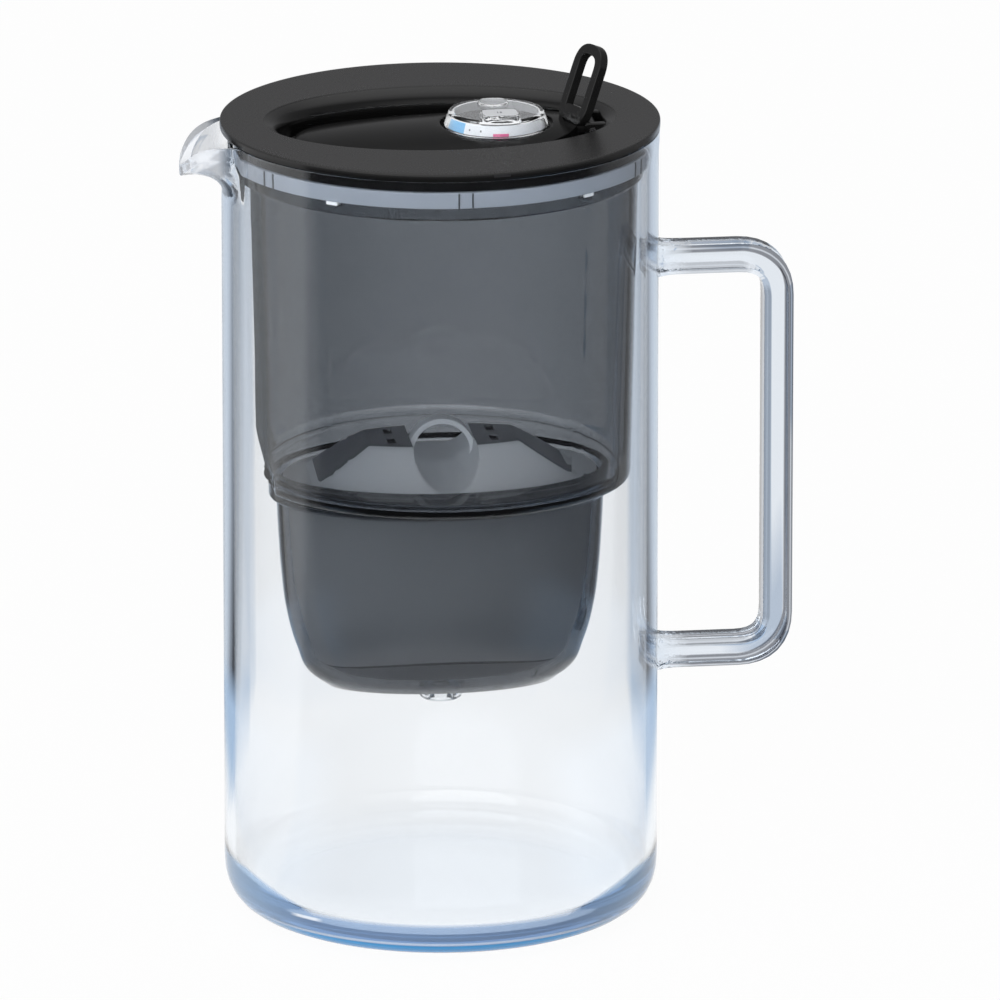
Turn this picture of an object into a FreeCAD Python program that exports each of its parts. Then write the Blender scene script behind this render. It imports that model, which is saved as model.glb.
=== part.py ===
import FreeCAD
import Part
import Sketcher
import os
import re

# Water filter pitcher: a glass jug with a welded glass handle, a smoky hopper that
# hangs inside it, an oval filter cartridge in the hopper's cup, and a black lid with
# a fill flap that carries a clear date dial and a pull loop.
# Millimetres. The origin is the middle of the jug's base, +Z up, the handle at +X,
# the spout at -X.

SIZES = {
    # Glass jug
    "jug_radius": 65.0,
    "jug_wall": 3.2,
    "jug_height": 240.5,
    "jug_base": 7.0,
    "jug_foot_round": 12.0,
    "jug_floor_round": 10.0,
    # Spout
    "spout_overhang": 12.5,
    "spout_root_inset": 6.0,
    "spout_root_depth": 20.0,
    "spout_root_half_width": 17.0,
    "spout_tip_depth": 9.0,
    "spout_tip_half_width": 6.5,
    "spout_wall": 2.8,
    "spout_droop": 8.5,
    # Glass handle
    "handle_bar": 9.0,
    "handle_depth": 9.0,
    "handle_overhang": 40.8,
    "handle_top": 202.4,
    "handle_bottom": 71.1,
    "handle_corner": 15.0,
    "handle_inner_corner": 6.0,
    "handle_edge_round": 2.2,
    "handle_foot_radius": 8.0,
    "handle_foot_length": 6.0,
    "weld_gap": 0.02,
    # Seal ring
    "seal_gap": 0.3,
    "seal_wall": 1.8,
    "seal_height": 5.0,
    "seal_drop": 3.8,
    "rib_width": 1.2,
    "rib_depth": 0.8,
    "rib_half_spacing": 2.4,
    # Hopper
    "hopper_wall": 1.8,
    "hopper_depth": 96.7,
    "collar_gap": 1.5,
    "collar_height": 3.7,
    "collar_step": 1.3,
    "hopper_taper": 2.2,
    "pour_relief": 1.6,
    "notch_length": 4.0,
    "notch_height": 1.4,
    "seat_drop": 5.5,
    "seat_width": 2.2,
    "cup_half_length": 49.2,
    "cup_half_width": 32.2,
    "cup_depth": 60.2,
    # Outlet nozzle
    "nozzle_radius": 6.7,
    "nozzle_bore": 3.6,
    "nozzle_drop": 5.3,
    "nozzle_stem_wall": 1.4,
    # Cartridge
    "cartridge_gap": 1.6,
    "cartridge_wall": 1.6,
    "cartridge_seal_height": 3.9,
    "cartridge_seal_gap": 0.3,
    "fit_gap": 0.2,
    "outlet_screen_radius": 9.0,
    "outlet_screen_rim": 1.5,
    "screen_thickness": 1.0,
    "bed_headroom": 8.0,
    "cap_plate_inset": 1.8,
    "cap_plate_thickness": 1.4,
    "cap_base_inset": 3.6,
    "cap_ridge_half_length": 23.0,
    "cap_ridge_half_width": 12.5,
    "cap_ridge_height": 11.0,
    "cap_wall": 1.6,
    "cap_groove_radius": 9.5,
    "ring_outer": 10.2,
    "ring_inner": 7.5,
    "ring_thickness": 5.0,
    "ring_rise": 5.4,
    "inlet_slot_length": 4.5,
    "inlet_slot_width": 1.6,
    "inlet_slot_spacing": 13.0,
    "inlet_slot_reach": 15.5,
    # Lid
    "lid_overhang": 0.4,
    "lid_gap": 0.3,
    "lid_edge": 2.2,
    "lid_edge_round": 0.7,
    "skirt_gap": 0.6,
    "skirt_wall": 2.4,
    "face_gap": 0.3,
    "well_half_width": 32.5,
    "well_wall": 2.0,
    "well_end_margin": 9.0,
    "well_half_length": "=jug_radius - jug_wall - skirt_gap - skirt_wall - well_wall - well_end_margin",
    "well_depth": 8.9,
    "well_flange": 1.6,
    "lip_width": 3.5,
    "lip_depth": 3.5,
    "fill_inset": 9.5,
    # Fill flap
    "flap_end_gap": 4.4,
    "flap_hinge_gap": 8.8,
    "flap_side_gap": 4.5,
    "flap_wall": 2.0,
    "flap_drop": 1.4,
    "crown_length": 182.0,
    "crown_width": 72.4,
    "crown_height": 60.0,
    "pin_radius": 1.0,
    "pin_fit": 0.05,
    "pin_seat_fit": 0.02,
    "pin_end_gap": 3.2,
    "pin_depth": 3.4,
    "barrel_radius": 2.0,
    "arm_half_width": 5.5,
    "arm_rise": 0.8,
    "arm_thickness": 2.2,
    "arm_reach": 12.0,
    "ear_gap": 0.5,
    "ear_width": 2.4,
    "ear_radius": 2.4,
    # Pull loop
    "loop_length": 25.0,
    "loop_width": 13.7,
    "loop_limb": 2.6,
    "loop_thickness": 2.6,
    "loop_offset": 5.1,
    "loop_sink": 1.5,
    "loop_lean_angle": 20.6,
    "loop_turn_angle": 23.0,
    # Dial
    "dial_offset": 27.8,
    "dial_radius": 15.7,
    "dial_top_radius": 14.1,
    "dial_height": 4.9,
    "dial_edge_round": 1.0,
    "dial_gap": 1.1,
    "socket_wall": 1.6,
    "socket_floor": 1.6,
    "socket_depth": 2.6,
    "card_thickness": 0.8,
    "card_gap": 0.2,
    "stem_radius": 2.5,
    "stem_length": 4.0,
    "clip_radius": 4.6,
    "clip_thickness": 0.9,
    "clip_gap": 0.1,
    "tab_half_width": 5.7,
    "tab_depth": 9.5,
    "tab_height": 1.4,
    "tab_round": 1.6,
    "button_radius": 4.6,
    "button_height": 0.5,
    "button_offset": 7.7,
    # One overrun serves all cuts
    "overrun": 1.0,
}

# The cup's sections from its floor up: the share of its depth, of its half length
# and of its half width.
CUP_SECTION_SHARES = [
    (0.0, 0.70, 0.50),
    (0.07, 0.805, 0.63),
    (0.2, 0.878, 0.78),
    (0.41, 0.945, 0.90),
    (0.6, 0.972, 0.95),
    (0.8, 0.988, 0.98),
    (1.0, 1.0, 1.0),
]
# Roundings that follow the wall or the limb they sit on
LIP_ROUND_SHARE = 0.44
LOOP_ROUND_SHARE = 0.48
RIB_PAIRS = 6
NOTCH_ANGLES = (52, 128, 232, 308)
FUNCTIONS = ("sin", "cos", "tan", "atan", "sqrt", "vector", "rotation", "placement")

doc = FreeCAD.newDocument("filter_pitcher")
sheet = doc.addObject("Spreadsheet::Sheet", "sizes")
for row, (alias, value) in enumerate(SIZES.items(), start=1):
    sheet.set(f"A{row}", alias)
    sheet.set(f"B{row}", str(value))
    sheet.setAlias(f"B{row}", alias)
doc.recompute()


def bound(text):
    """The expression with each size's name led to its cell."""
    def lead(match):
        word = match.group()
        return word if word in FUNCTIONS else f"sizes.{word}"
    return re.sub(r"[a-z][a-z_]*", lead, text)


def number(text):
    """The value of an expression, used as the first guess of a sketch point."""
    return float(sheet.evalExpression(bound(text)))


def tie(item, prop, text):
    """Bind a property to an expression of named sizes."""
    item.setExpression(prop, bound(text))


def place(item, at=("0", "0", "0"), turn=("0", "0", "0")):
    """Bind a placement: a position, then yaw, pitch and roll in degrees."""
    position = "; ".join(at)
    angles = "; ".join(turn)
    tie(item, "Placement", f"placement(vector({position}); rotation({angles}))")


def primitive(kind, name, sizes, at=("0", "0", "0"), turn=("0", "0", "0")):
    """A Part primitive with its sizes and its placement bound."""
    item = doc.addObject(f"Part::{kind}", name)
    for prop, text in sizes.items():
        tie(item, prop, text)
    place(item, at, turn)
    return item


def cylinder(name, radius, height, at, turn=("0", "0", "0")):
    return primitive("Cylinder", name, {"Radius": radius, "Height": height}, at, turn)


def box(name, length, width, height, at, turn=("0", "0", "0")):
    return primitive("Box", name, {"Length": length, "Width": width, "Height": height}, at, turn)


def cross_rod(name, radius, half_length, x, z):
    """A cylinder along Y, centred on the part's long plane."""
    at = (x, half_length, z)
    return cylinder(name, radius, f"2 * ({half_length})", at, ("0", "0", "90"))


def cut(name, base, *tools):
    tool = tools[0] if len(tools) == 1 else fuse(f"{name}_tools", *tools)
    item = doc.addObject("Part::Cut", name)
    item.Base = base
    item.Tool = tool
    return item


def fuse(name, *shapes):
    item = doc.addObject("Part::MultiFuse", name)
    item.Shapes = list(shapes)
    return item


def common(name, first, second):
    item = doc.addObject("Part::Common", name)
    item.Base = first
    item.Tool = second
    return item


def tube(name, outer, inner, z, height):
    """A round ring about the jug's axis."""
    wall = cylinder(f"{name}_outside", outer, height, ("0", "0", z))
    hole = cylinder(f"{name}_inside", inner, f"{height} + 2 * overrun", ("0", "0", f"{z} - overrun"))
    return cut(name, wall, hole)


def oval_loft(name, sections, x="0"):
    """A solid through ovals (half length, half width, height), from the first to the last."""
    ovals = []
    for index, (half_length, half_width, z) in enumerate(sections):
        oval = doc.addObject("Part::Ellipse", f"{name}_oval_{index}")
        tie(oval, "MajorRadius", half_length)
        tie(oval, "MinorRadius", half_width)
        place(oval, (x, "0", z))
        ovals.append(oval)
    item = doc.addObject("Part::Loft", name)
    item.Sections = ovals
    item.Solid = True
    item.Ruled = len(sections) == 2
    return item


def oval_prism(name, half_length, half_width, low, high, x="0"):
    sections = [(half_length, half_width, low), (half_length, half_width, high)]
    return oval_loft(name, sections, x)


def oval_ring(name, outer, inner, low, high):
    """An upright oval ring between two pairs of half sizes."""
    wall = oval_prism(f"{name}_outside", *outer, low, high)
    hole = oval_prism(f"{name}_inside", *inner, f"{low} - overrun", f"{high} + overrun")
    return cut(name, wall, hole)


def sketch_on(body, role, *outlines):
    """A sketch of closed outlines; a corner is (across, up) or (across, up, radius)."""
    sketch = body.newObject("Sketcher::SketchObject", f"{body.Name}_outline")
    plane = [item for item in body.Origin.OriginFeatures if item.Role == role][0]
    sketch.AttachmentSupport = [(plane, "")]
    sketch.MapMode = "FlatFace"
    for corners in outlines:
        add_outline(sketch, corners)
    return sketch


def add_outline(sketch, corners):
    first = sketch.GeometryCount
    count = len(corners)
    points = [FreeCAD.Vector(number(corner[0]), number(corner[1]), 0) for corner in corners]
    for index in range(count):
        side = Part.LineSegment(points[index], points[(index + 1) % count])
        sketch.addGeometry(side, False)
    for index in range(count):
        following = first + (index + 1) % count
        sketch.addConstraint(Sketcher.Constraint("Coincident", first + index, 2, following, 1))
    for index, corner in enumerate(corners):
        for kind, text, guess in zip(("DistanceX", "DistanceY"), corner, points[index]):
            constraint = Sketcher.Constraint(kind, -1, 1, first + index, 1, guess)
            name_constraint(sketch, sketch.addConstraint(constraint), text)
    for index, corner in enumerate(corners):
        if len(corner) == 3:
            round_corner(sketch, first + index, corner[2])


def name_constraint(sketch, index, text):
    """Give a constraint a name, so that its expression stays with it."""
    name = f"size_{len(sketch.ExpressionEngine)}"
    sketch.renameConstraint(index, name)
    sketch.setExpression(f"Constraints.{name}", bound(text))


def round_corner(sketch, side, radius):
    """Round the start of a side; the corner's own point keeps its sizes."""
    sketch.fillet(side, 1, number(radius), True, True)
    arcs = [index for index, item in enumerate(sketch.Geometry) if isinstance(item, Part.ArcOfCircle)]
    constraint = Sketcher.Constraint("Radius", arcs[-1], number(radius))
    name_constraint(sketch, sketch.addConstraint(constraint), radius)


def turned(name, *corners):
    """A body turned about Z from an outline of (radius, height) corners."""
    body = doc.addObject("PartDesign::Body", name)
    sketch = sketch_on(body, "XZ_Plane", corners)
    turn = body.newObject("PartDesign::Revolution", f"{name}_turn")
    turn.Profile = sketch
    turn.ReferenceAxis = (sketch, ["V_Axis"])
    turn.Angle = 360
    return body


def padded(name, role, thickness, *outlines):
    """A body padded to both sides of one of its own planes."""
    body = doc.addObject("PartDesign::Body", name)
    sketch = sketch_on(body, role, *outlines)
    pad = body.newObject("PartDesign::Pad", f"{name}_pad")
    pad.Profile = sketch
    pad.SideType = "Symmetric"
    tie(pad, "Length", thickness)
    return body


def rounded(body, radius):
    """Round every edge of a body."""
    doc.recompute()
    solid = body.Tip
    edges = body.newObject("PartDesign::Fillet", f"{body.Name}_round")
    edges.Base = (solid, [""])
    edges.UseAllEdges = True
    tie(edges, "Radius", radius)
    body.Tip = edges
    return body


# Heights and radii that several pieces share
JUG_INSIDE = "(jug_radius - jug_wall)"
LID_UNDER = "(jug_height + lid_gap)"
LID_TOP = f"({LID_UNDER} + lid_edge)"
SEAL_TOP = "(jug_height - seal_drop)"
HOPPER_TOP = f"({SEAL_TOP} - seal_height)"
COLLAR_RADIUS = f"({JUG_INSIDE} - collar_gap)"
BUCKET_RADIUS = f"({COLLAR_RADIUS} - collar_step)"
BUCKET_UNDER = f"({HOPPER_TOP} - hopper_depth)"
BUCKET_FLOOR = f"({BUCKET_UNDER} + hopper_wall)"
SEAT = f"({BUCKET_UNDER} - seat_drop)"
CUP_UNDER = f"({SEAT} - cup_depth)"
CUP_FLOOR = f"({CUP_UNDER} + hopper_wall)"
MOUTH_HALF_LENGTH = "(cup_half_length - hopper_wall + seat_width)"
MOUTH_HALF_WIDTH = "(cup_half_width - hopper_wall + seat_width)"
CARTRIDGE_TOP = f"({SEAT} + cartridge_seal_height)"
WELL_FLOOR = f"({LID_TOP} - well_depth)"
FLAP_TOP = f"({LID_TOP} - flap_drop)"
FLAP_HALF_LENGTH = "(well_half_length - (flap_end_gap + flap_hinge_gap) / 2)"
FLAP_HALF_WIDTH = "(well_half_width - flap_side_gap)"
FLAP_MIDDLE = "((flap_end_gap - flap_hinge_gap) / 2)"
PIN_X = "(well_half_length - pin_end_gap)"
PIN_Z = f"({LID_TOP} - pin_depth)"
ARM_TOP = f"({PIN_Z} + arm_rise)"
DIAL_X = f"({PIN_X} - dial_offset)"
SOCKET_RADIUS = "(dial_radius + dial_gap)"
SOCKET_FLOOR = f"({FLAP_TOP} - socket_depth)"
DIAL_UNDER = f"({SOCKET_FLOOR} + card_thickness + card_gap)"
DIAL_TOP = f"({DIAL_UNDER} + dial_height)"

nodes = {}


def keep(label, item):
    """Name a finished piece."""
    item.Label = label
    nodes[label] = item


def spout_loft(name, root, tip, tip_x):
    """A beak from the wall to the tip, lying along X below the rim's height."""
    ovals = []
    root_x = "-(jug_radius - spout_root_inset)"
    for end, (depth, half_width), x in (("root", root, root_x), ("tip", tip, tip_x)):
        oval = doc.addObject("Part::Ellipse", f"{name}_{end}")
        tie(oval, "MajorRadius", depth)
        tie(oval, "MinorRadius", half_width)
        place(oval, (x, "0", "jug_height"), ("0", "-90", "0"))
        ovals.append(oval)
    item = doc.addObject("Part::Loft", name)
    item.Sections = ovals
    item.Solid = True
    item.Ruled = True
    return item


def make_glass_jug():
    lip_round = f"jug_wall * {LIP_ROUND_SHARE}"
    wall = turned(
        "jug_wall_turned",
        ("0", "0"),
        ("jug_radius", "0", "jug_foot_round"),
        ("jug_radius", "jug_height", lip_round),
        (JUG_INSIDE, "jug_height", lip_round),
        (JUG_INSIDE, "jug_base", "jug_floor_round"),
        ("0", "jug_base"),
    )
    tip_x = "-(jug_radius + spout_overhang)"
    beak = spout_loft(
        "beak",
        ("spout_root_depth", "spout_root_half_width"),
        ("spout_tip_depth", "spout_tip_half_width"),
        tip_x,
    )
    channel = spout_loft(
        "channel",
        ("spout_root_depth - spout_wall", "spout_root_half_width - spout_wall"),
        ("spout_tip_depth - spout_wall", "spout_tip_half_width - spout_wall"),
        tip_x,
    )
    inside = cylinder("jug_inside", JUG_INSIDE, "jug_height", ("0", "0", "jug_base"))
    beak_wall = cut("beak_wall", beak, inside)
    joined = fuse("jug_with_beak", wall, beak_wall)
    run = "(jug_wall + spout_overhang)"
    droop = f"atan(spout_droop / {run})"
    above = box(
        "above_beak",
        f"2 * {run}",
        "2 * spout_root_half_width",
        "spout_root_depth",
        (f"-{JUG_INSIDE}", "spout_root_half_width", "jug_height"),
        ("180", droop, "0"),
    )
    over_rim = cylinder(
        "over_rim", "jug_radius + spout_overhang", "spout_root_depth", ("0", "0", "jug_height")
    )
    keep("glass_jug", cut("jug_cut", joined, channel, above, over_rim))


def make_glass_handle():
    outer = "(jug_radius + handle_overhang)"
    inner = f"({outer} - handle_bar)"
    start = JUG_INSIDE
    bar = padded(
        "handle_bent_bar",
        "XZ_Plane",
        "handle_depth",
        (
            (start, "handle_bottom"),
            (outer, "handle_bottom", "handle_corner"),
            (outer, "handle_top", "handle_corner"),
            (start, "handle_top"),
            (start, "handle_top - handle_bar"),
            (inner, "handle_top - handle_bar", "handle_inner_corner"),
            (inner, "handle_bottom + handle_bar", "handle_inner_corner"),
            (start, "handle_bottom + handle_bar"),
        ),
    )
    rounded(bar, "handle_edge_round")
    feet = []
    upper_z = "handle_top - handle_bar / 2"
    lower_z = "handle_bottom + handle_bar / 2"
    for end, z in (("upper", upper_z), ("lower", lower_z)):
        foot = primitive(
            "Cone",
            f"{end}_foot",
            {
                "Radius1": "handle_foot_radius",
                "Radius2": "handle_bar / 2",
                "Height": "jug_wall + handle_foot_length",
            },
            (start, "0", z),
            ("0", "90", "0"),
        )
        feet.append(foot)
    joined = fuse("handle_with_feet", bar, *feet)
    jug_side = cylinder("jug_side", "jug_radius + weld_gap", "jug_height", ("0", "0", "0"))
    keep("glass_handle", cut("handle_cut", joined, jug_side))


def make_seal_ring():
    outer = f"({JUG_INSIDE} - seal_gap)"
    inner = f"({outer} - seal_wall)"
    band = tube("seal_band", outer, inner, HOPPER_TOP, "seal_height")
    ribs = []
    for pair in range(RIB_PAIRS):
        for side in (-1, 1):
            middle = f"{side} * rib_half_spacing"
            angle = f"{pair} * 360 / {RIB_PAIRS} - 90"
            reach = f"({inner} - rib_depth)"
            offset = f"({middle} - rib_width / 2)"
            at = (
                f"{reach} * cos({angle}) - {offset} * sin({angle})",
                f"{reach} * sin({angle}) + {offset} * cos({angle})",
                HOPPER_TOP,
            )
            rib = box(
                f"rib_{pair}_{side + 1}",
                "rib_depth + seal_wall / 2",
                "rib_width",
                "seal_height",
                at,
                (angle, "0", "0"),
            )
            ribs.append(rib)
    keep("seal_ring", fuse("seal_with_ribs", band, *ribs))


def relief_box(name, inset):
    """The space outside the flat on the spout side, which leans with the bucket's wall."""
    low_x = f"-({BUCKET_RADIUS} - hopper_taper - pour_relief - {inset})"
    lean = "atan(hopper_taper / (hopper_depth - collar_height))"
    at = (low_x, BUCKET_RADIUS, BUCKET_UNDER)
    size = ("jug_radius", f"2 * {BUCKET_RADIUS}", "hopper_depth + overrun")
    return box(name, *size, at, ("180", lean, "0"))


def cup_sections(inset, low, high):
    """The cup's oval sections, all drawn in by one inset, between two heights."""
    sections = []
    for depth_share, length_share, width_share in CUP_SECTION_SHARES:
        sections.append((
            f"cup_half_length * {length_share} - ({inset})",
            f"cup_half_width * {width_share} - ({inset})",
            f"{low} + ({high} - {low}) * {depth_share}",
        ))
    return sections


def make_hopper_shell():
    collar_under = f"({HOPPER_TOP} - collar_height)"
    bucket_height = f"({collar_under} - {BUCKET_UNDER})"
    bucket = primitive(
        "Cone",
        "bucket_outside",
        {"Radius1": f"{BUCKET_RADIUS} - hopper_taper", "Radius2": BUCKET_RADIUS, "Height": bucket_height},
        ("0", "0", BUCKET_UNDER),
    )
    flat_bucket = cut("flat_bucket", bucket, relief_box("relief", "0"))
    collar = cylinder("collar", COLLAR_RADIUS, "collar_height", ("0", "0", collar_under))
    mouth = oval_prism(
        "mouth_outside",
        f"{MOUTH_HALF_LENGTH} + hopper_wall",
        f"{MOUTH_HALF_WIDTH} + hopper_wall",
        f"{SEAT} - hopper_wall",
        BUCKET_FLOOR,
    )
    cup = oval_loft("cup_outside", cup_sections("0", CUP_UNDER, SEAT))
    outside = fuse("hopper_outside", flat_bucket, collar, mouth, cup)

    slope = f"(hopper_taper / {bucket_height})"
    room_height = f"({HOPPER_TOP} + overrun - {BUCKET_FLOOR})"
    room_floor_radius = f"({BUCKET_RADIUS} - hopper_taper + hopper_wall * {slope} - hopper_wall)"
    room = primitive(
        "Cone",
        "bucket_inside",
        {
            "Radius1": room_floor_radius,
            "Radius2": f"{room_floor_radius} + {room_height} * {slope}",
            "Height": room_height,
        },
        ("0", "0", BUCKET_FLOOR),
    )
    flat_room = cut("flat_room", room, relief_box("relief_inside", "hopper_wall"))
    mouth_room = oval_prism(
        "mouth_inside", MOUTH_HALF_LENGTH, MOUTH_HALF_WIDTH, SEAT, f"{BUCKET_FLOOR} + overrun"
    )
    cup_room = oval_loft("cup_inside", cup_sections("hopper_wall", CUP_FLOOR, f"({SEAT} + overrun)"))
    drain = cylinder(
        "drain", "nozzle_bore + nozzle_stem_wall", "2 * hopper_wall + 2 * overrun",
        ("0", "0", f"{CUP_UNDER} - overrun"),
    )
    notches = []
    for angle in NOTCH_ANGLES:
        start = f"({COLLAR_RADIUS} - hopper_wall)"
        at = (
            f"{start} * cos({angle}) + notch_length / 2 * sin({angle})",
            f"{start} * sin({angle}) - notch_length / 2 * cos({angle})",
            f"{HOPPER_TOP} - notch_height",
        )
        size = ("hopper_wall + overrun", "notch_length", "notch_height + overrun")
        notches.append(box(f"notch_{angle}", *size, at, (str(angle), "0", "0")))
    keep("hopper_shell", cut("hopper_cut", outside, flat_room, mouth_room, cup_room, drain, *notches))


def make_outlet_nozzle():
    stem = "(nozzle_bore + nozzle_stem_wall - fit_gap)"
    tip = f"({CUP_UNDER} - nozzle_drop)"
    keep("outlet_nozzle", turned(
        "nozzle_turned",
        ("nozzle_bore", tip),
        ("nozzle_radius", tip),
        ("nozzle_radius", CUP_UNDER),
        (stem, CUP_UNDER),
        (stem, CUP_FLOOR),
        ("nozzle_bore", CUP_FLOOR),
    ))


def make_cartridge():
    skin = "(hopper_wall + cartridge_gap)"
    under = f"({CUP_FLOOR} + cartridge_gap)"
    floor = f"({under} + cartridge_wall)"
    outside = oval_loft("cartridge_outside", cup_sections(skin, under, CARTRIDGE_TOP))
    inset = f"({skin} + cartridge_wall)"
    inside = oval_loft("cartridge_inside", cup_sections(inset, floor, f"({CARTRIDGE_TOP} + overrun)"))
    drain = cylinder(
        "cartridge_drain", "outlet_screen_radius - outlet_screen_rim",
        "cartridge_wall + 2 * overrun", ("0", "0", f"{under} - overrun"),
    )
    keep("cartridge_body", cut("cartridge_cut", outside, inside, drain))

    keep("outlet_screen", cylinder(
        "outlet_screen_disc", "outlet_screen_radius", "screen_thickness", ("0", "0", floor)
    ))

    bed_low = f"({floor} + screen_thickness)"
    bed_high = f"({CARTRIDGE_TOP} - bed_headroom)"
    screen_high = f"({bed_high} + screen_thickness)"
    # The inlet screen lies on the bed; both follow the body's wall.
    for label, low, high in (
        ("filter_bed", bed_low, bed_high),
        ("inlet_screen", bed_high, screen_high),
    ):
        fill_sections = cup_sections(f"({inset} + fit_gap)", floor, f"({CARTRIDGE_TOP} + overrun)")
        fill = oval_loft(f"{label}_fill", fill_sections)
        layer = oval_prism(f"{label}_layer", "cup_half_length", "cup_half_width", low, high)
        keep(label, common(f"{label}_cut", fill, layer))

    seal_outer = (f"{MOUTH_HALF_LENGTH} - cartridge_seal_gap", f"{MOUTH_HALF_WIDTH} - cartridge_seal_gap")
    seal_inner = (f"cup_half_length - {skin} + fit_gap", f"cup_half_width - {skin} + fit_gap")
    keep("cartridge_seal", oval_ring("cartridge_gasket", seal_outer, seal_inner, SEAT, CARTRIDGE_TOP))


def make_cartridge_cap():
    plate_length = f"({MOUTH_HALF_LENGTH} - cap_plate_inset)"
    plate_width = f"({MOUTH_HALF_WIDTH} - cap_plate_inset)"
    plate_top = f"({CARTRIDGE_TOP} + cap_plate_thickness)"
    ridge_top = f"({plate_top} + cap_ridge_height)"
    base_length = f"({plate_length} - cap_base_inset)"
    base_width = f"({plate_width} - cap_base_inset)"
    plate = oval_prism("cap_plate", plate_length, plate_width, CARTRIDGE_TOP, plate_top)
    ridge = oval_loft("cap_ridge", [
        (base_length, base_width, plate_top),
        ("cap_ridge_half_length", "cap_ridge_half_width", ridge_top),
    ])
    hollow = oval_loft("cap_hollow", [
        (f"{base_length} - cap_wall", f"{base_width} - cap_wall", f"{CARTRIDGE_TOP} - overrun"),
        (
            "cap_ridge_half_length - cap_wall",
            "cap_ridge_half_width - cap_wall",
            f"{ridge_top} - cap_wall",
        ),
    ])
    groove_z = f"({plate_top} + cap_groove_radius)"
    groove_wall = cross_rod(
        "groove_wall", "cap_groove_radius + cap_plate_thickness", base_width, "0", groove_z
    )
    groove_rise = box(
        "groove_rise", "2 * (cap_groove_radius + cap_plate_thickness)", f"2 * {base_width}",
        "cap_ridge_height",
        ("-(cap_groove_radius + cap_plate_thickness)", f"-{base_width}", groove_z),
    )
    channel_wall = common("channel_wall", ridge, fuse("channel_form", groove_wall, groove_rise))
    shell = cut("cap_shell", fuse("cap_outside", plate, ridge), hollow)
    walled = fuse("cap_walled", shell, channel_wall)
    groove = cross_rod("groove", "cap_groove_radius", plate_width, "0", groove_z)
    groove_top = box(
        "groove_top", "2 * cap_groove_radius", f"2 * {plate_width}", "cap_ridge_height",
        ("-cap_groove_radius", f"-{plate_width}", groove_z),
    )
    slots = []
    for side_x in (-1, 1):
        for side_y in (-1, 1):
            at = (
                f"{side_x} * inlet_slot_reach - inlet_slot_length / 2",
                f"{side_y} * inlet_slot_spacing / 2 - inlet_slot_width / 2",
                f"{ridge_top} - 2 * cap_wall",
            )
            size = ("inlet_slot_length", "inlet_slot_width", "2 * cap_wall + overrun")
            slots.append(box(f"slot_{side_x + 1}_{side_y + 1}", *size, at))
    open_cap = cut("cap_open", walled, groove, groove_top, *slots)

    ring_z = f"({ridge_top} + ring_rise - ring_outer)"
    ring_disc = cross_rod("ring_disc", "ring_outer", "ring_thickness / 2", "0", ring_z)
    ring_hole = cross_rod("ring_hole", "ring_inner", "ring_thickness", "0", ring_z)
    below = box(
        "below_ring", "2 * ring_outer", "2 * ring_thickness", "ring_outer",
        ("-ring_outer", "-ring_thickness", f"{CARTRIDGE_TOP} - ring_outer"),
    )
    ring = cut("finger_ring", ring_disc, ring_hole, below)
    keep("cartridge_cap", fuse("cap_with_ring", open_cap, ring))


def make_lid_cover():
    radius = "(jug_radius + lid_overhang)"
    plate = turned(
        "lid_plate",
        ("0", LID_UNDER),
        (radius, LID_UNDER),
        (radius, LID_TOP, "lid_edge_round"),
        ("0", LID_TOP),
    )
    well = oval_prism(
        "well_outside", "well_half_length + well_wall", "well_half_width + well_wall",
        f"{WELL_FLOOR} - well_flange", f"{LID_TOP} - lid_edge / 2",
    )
    lip_z = f"({LID_TOP} - lip_depth)"
    well_room = oval_prism("well_inside", "well_half_length", "well_half_width", WELL_FLOOR, LID_TOP)
    flare_grow = "(lip_width * (lip_depth + overrun) / lip_depth)"
    flare = oval_loft("well_flare", [
        ("well_half_length", "well_half_width", lip_z),
        (f"well_half_length + {flare_grow}", f"well_half_width + {flare_grow}", f"{LID_TOP} + overrun"),
    ])
    fill = oval_prism(
        "fill_opening", "well_half_length - fill_inset", "well_half_width - fill_inset",
        f"{WELL_FLOOR} - well_flange - overrun", f"{WELL_FLOOR} + overrun",
    )
    bowl = cut("lid_bowl", fuse("lid_solid", plate, well), well_room, flare, fill)

    ears = []
    ear_start = f"({PIN_X} - ear_radius)"
    for side in (-1, 1):
        middle = f"{side} * (arm_half_width + ear_gap + ear_width / 2)"
        ears.append(box(
            f"ear_{side + 1}", f"well_half_length + well_wall / 2 - {ear_start}", "ear_width",
            f"{PIN_Z} + ear_radius - {WELL_FLOOR} + well_flange / 2",
            (ear_start, f"{middle} - ear_width / 2", f"{WELL_FLOOR} - well_flange / 2"),
        ))
    well_space = oval_prism(
        "ear_limit", "well_half_length + well_wall / 2", "well_half_width + well_wall / 2",
        f"{WELL_FLOOR} - well_flange", LID_TOP,
    )
    ear_pair = common("ear_pair", fuse("ears", *ears), well_space)
    pin_hole = cross_rod(
        "pin_hole", "pin_radius + pin_seat_fit", "arm_half_width + ear_gap + ear_width + overrun",
        PIN_X, PIN_Z,
    )
    keep("lid_cover", cut("lid_cut", fuse("lid_with_ears", bowl, ear_pair), pin_hole))

    keep("hinge_pin", cross_rod(
        "flap_pin", "pin_radius", "arm_half_width + ear_gap + ear_width", PIN_X, PIN_Z
    ))

    skirt_outer = f"({JUG_INSIDE} - skirt_gap)"
    skirt_inner = f"({skirt_outer} - skirt_wall)"
    skirt_under = f"({SEAL_TOP} + face_gap)"
    skirt_height = f"({LID_UNDER} - {skirt_under})"
    keep("lid_skirt", tube("skirt", skirt_outer, skirt_inner, skirt_under, skirt_height))


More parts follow.
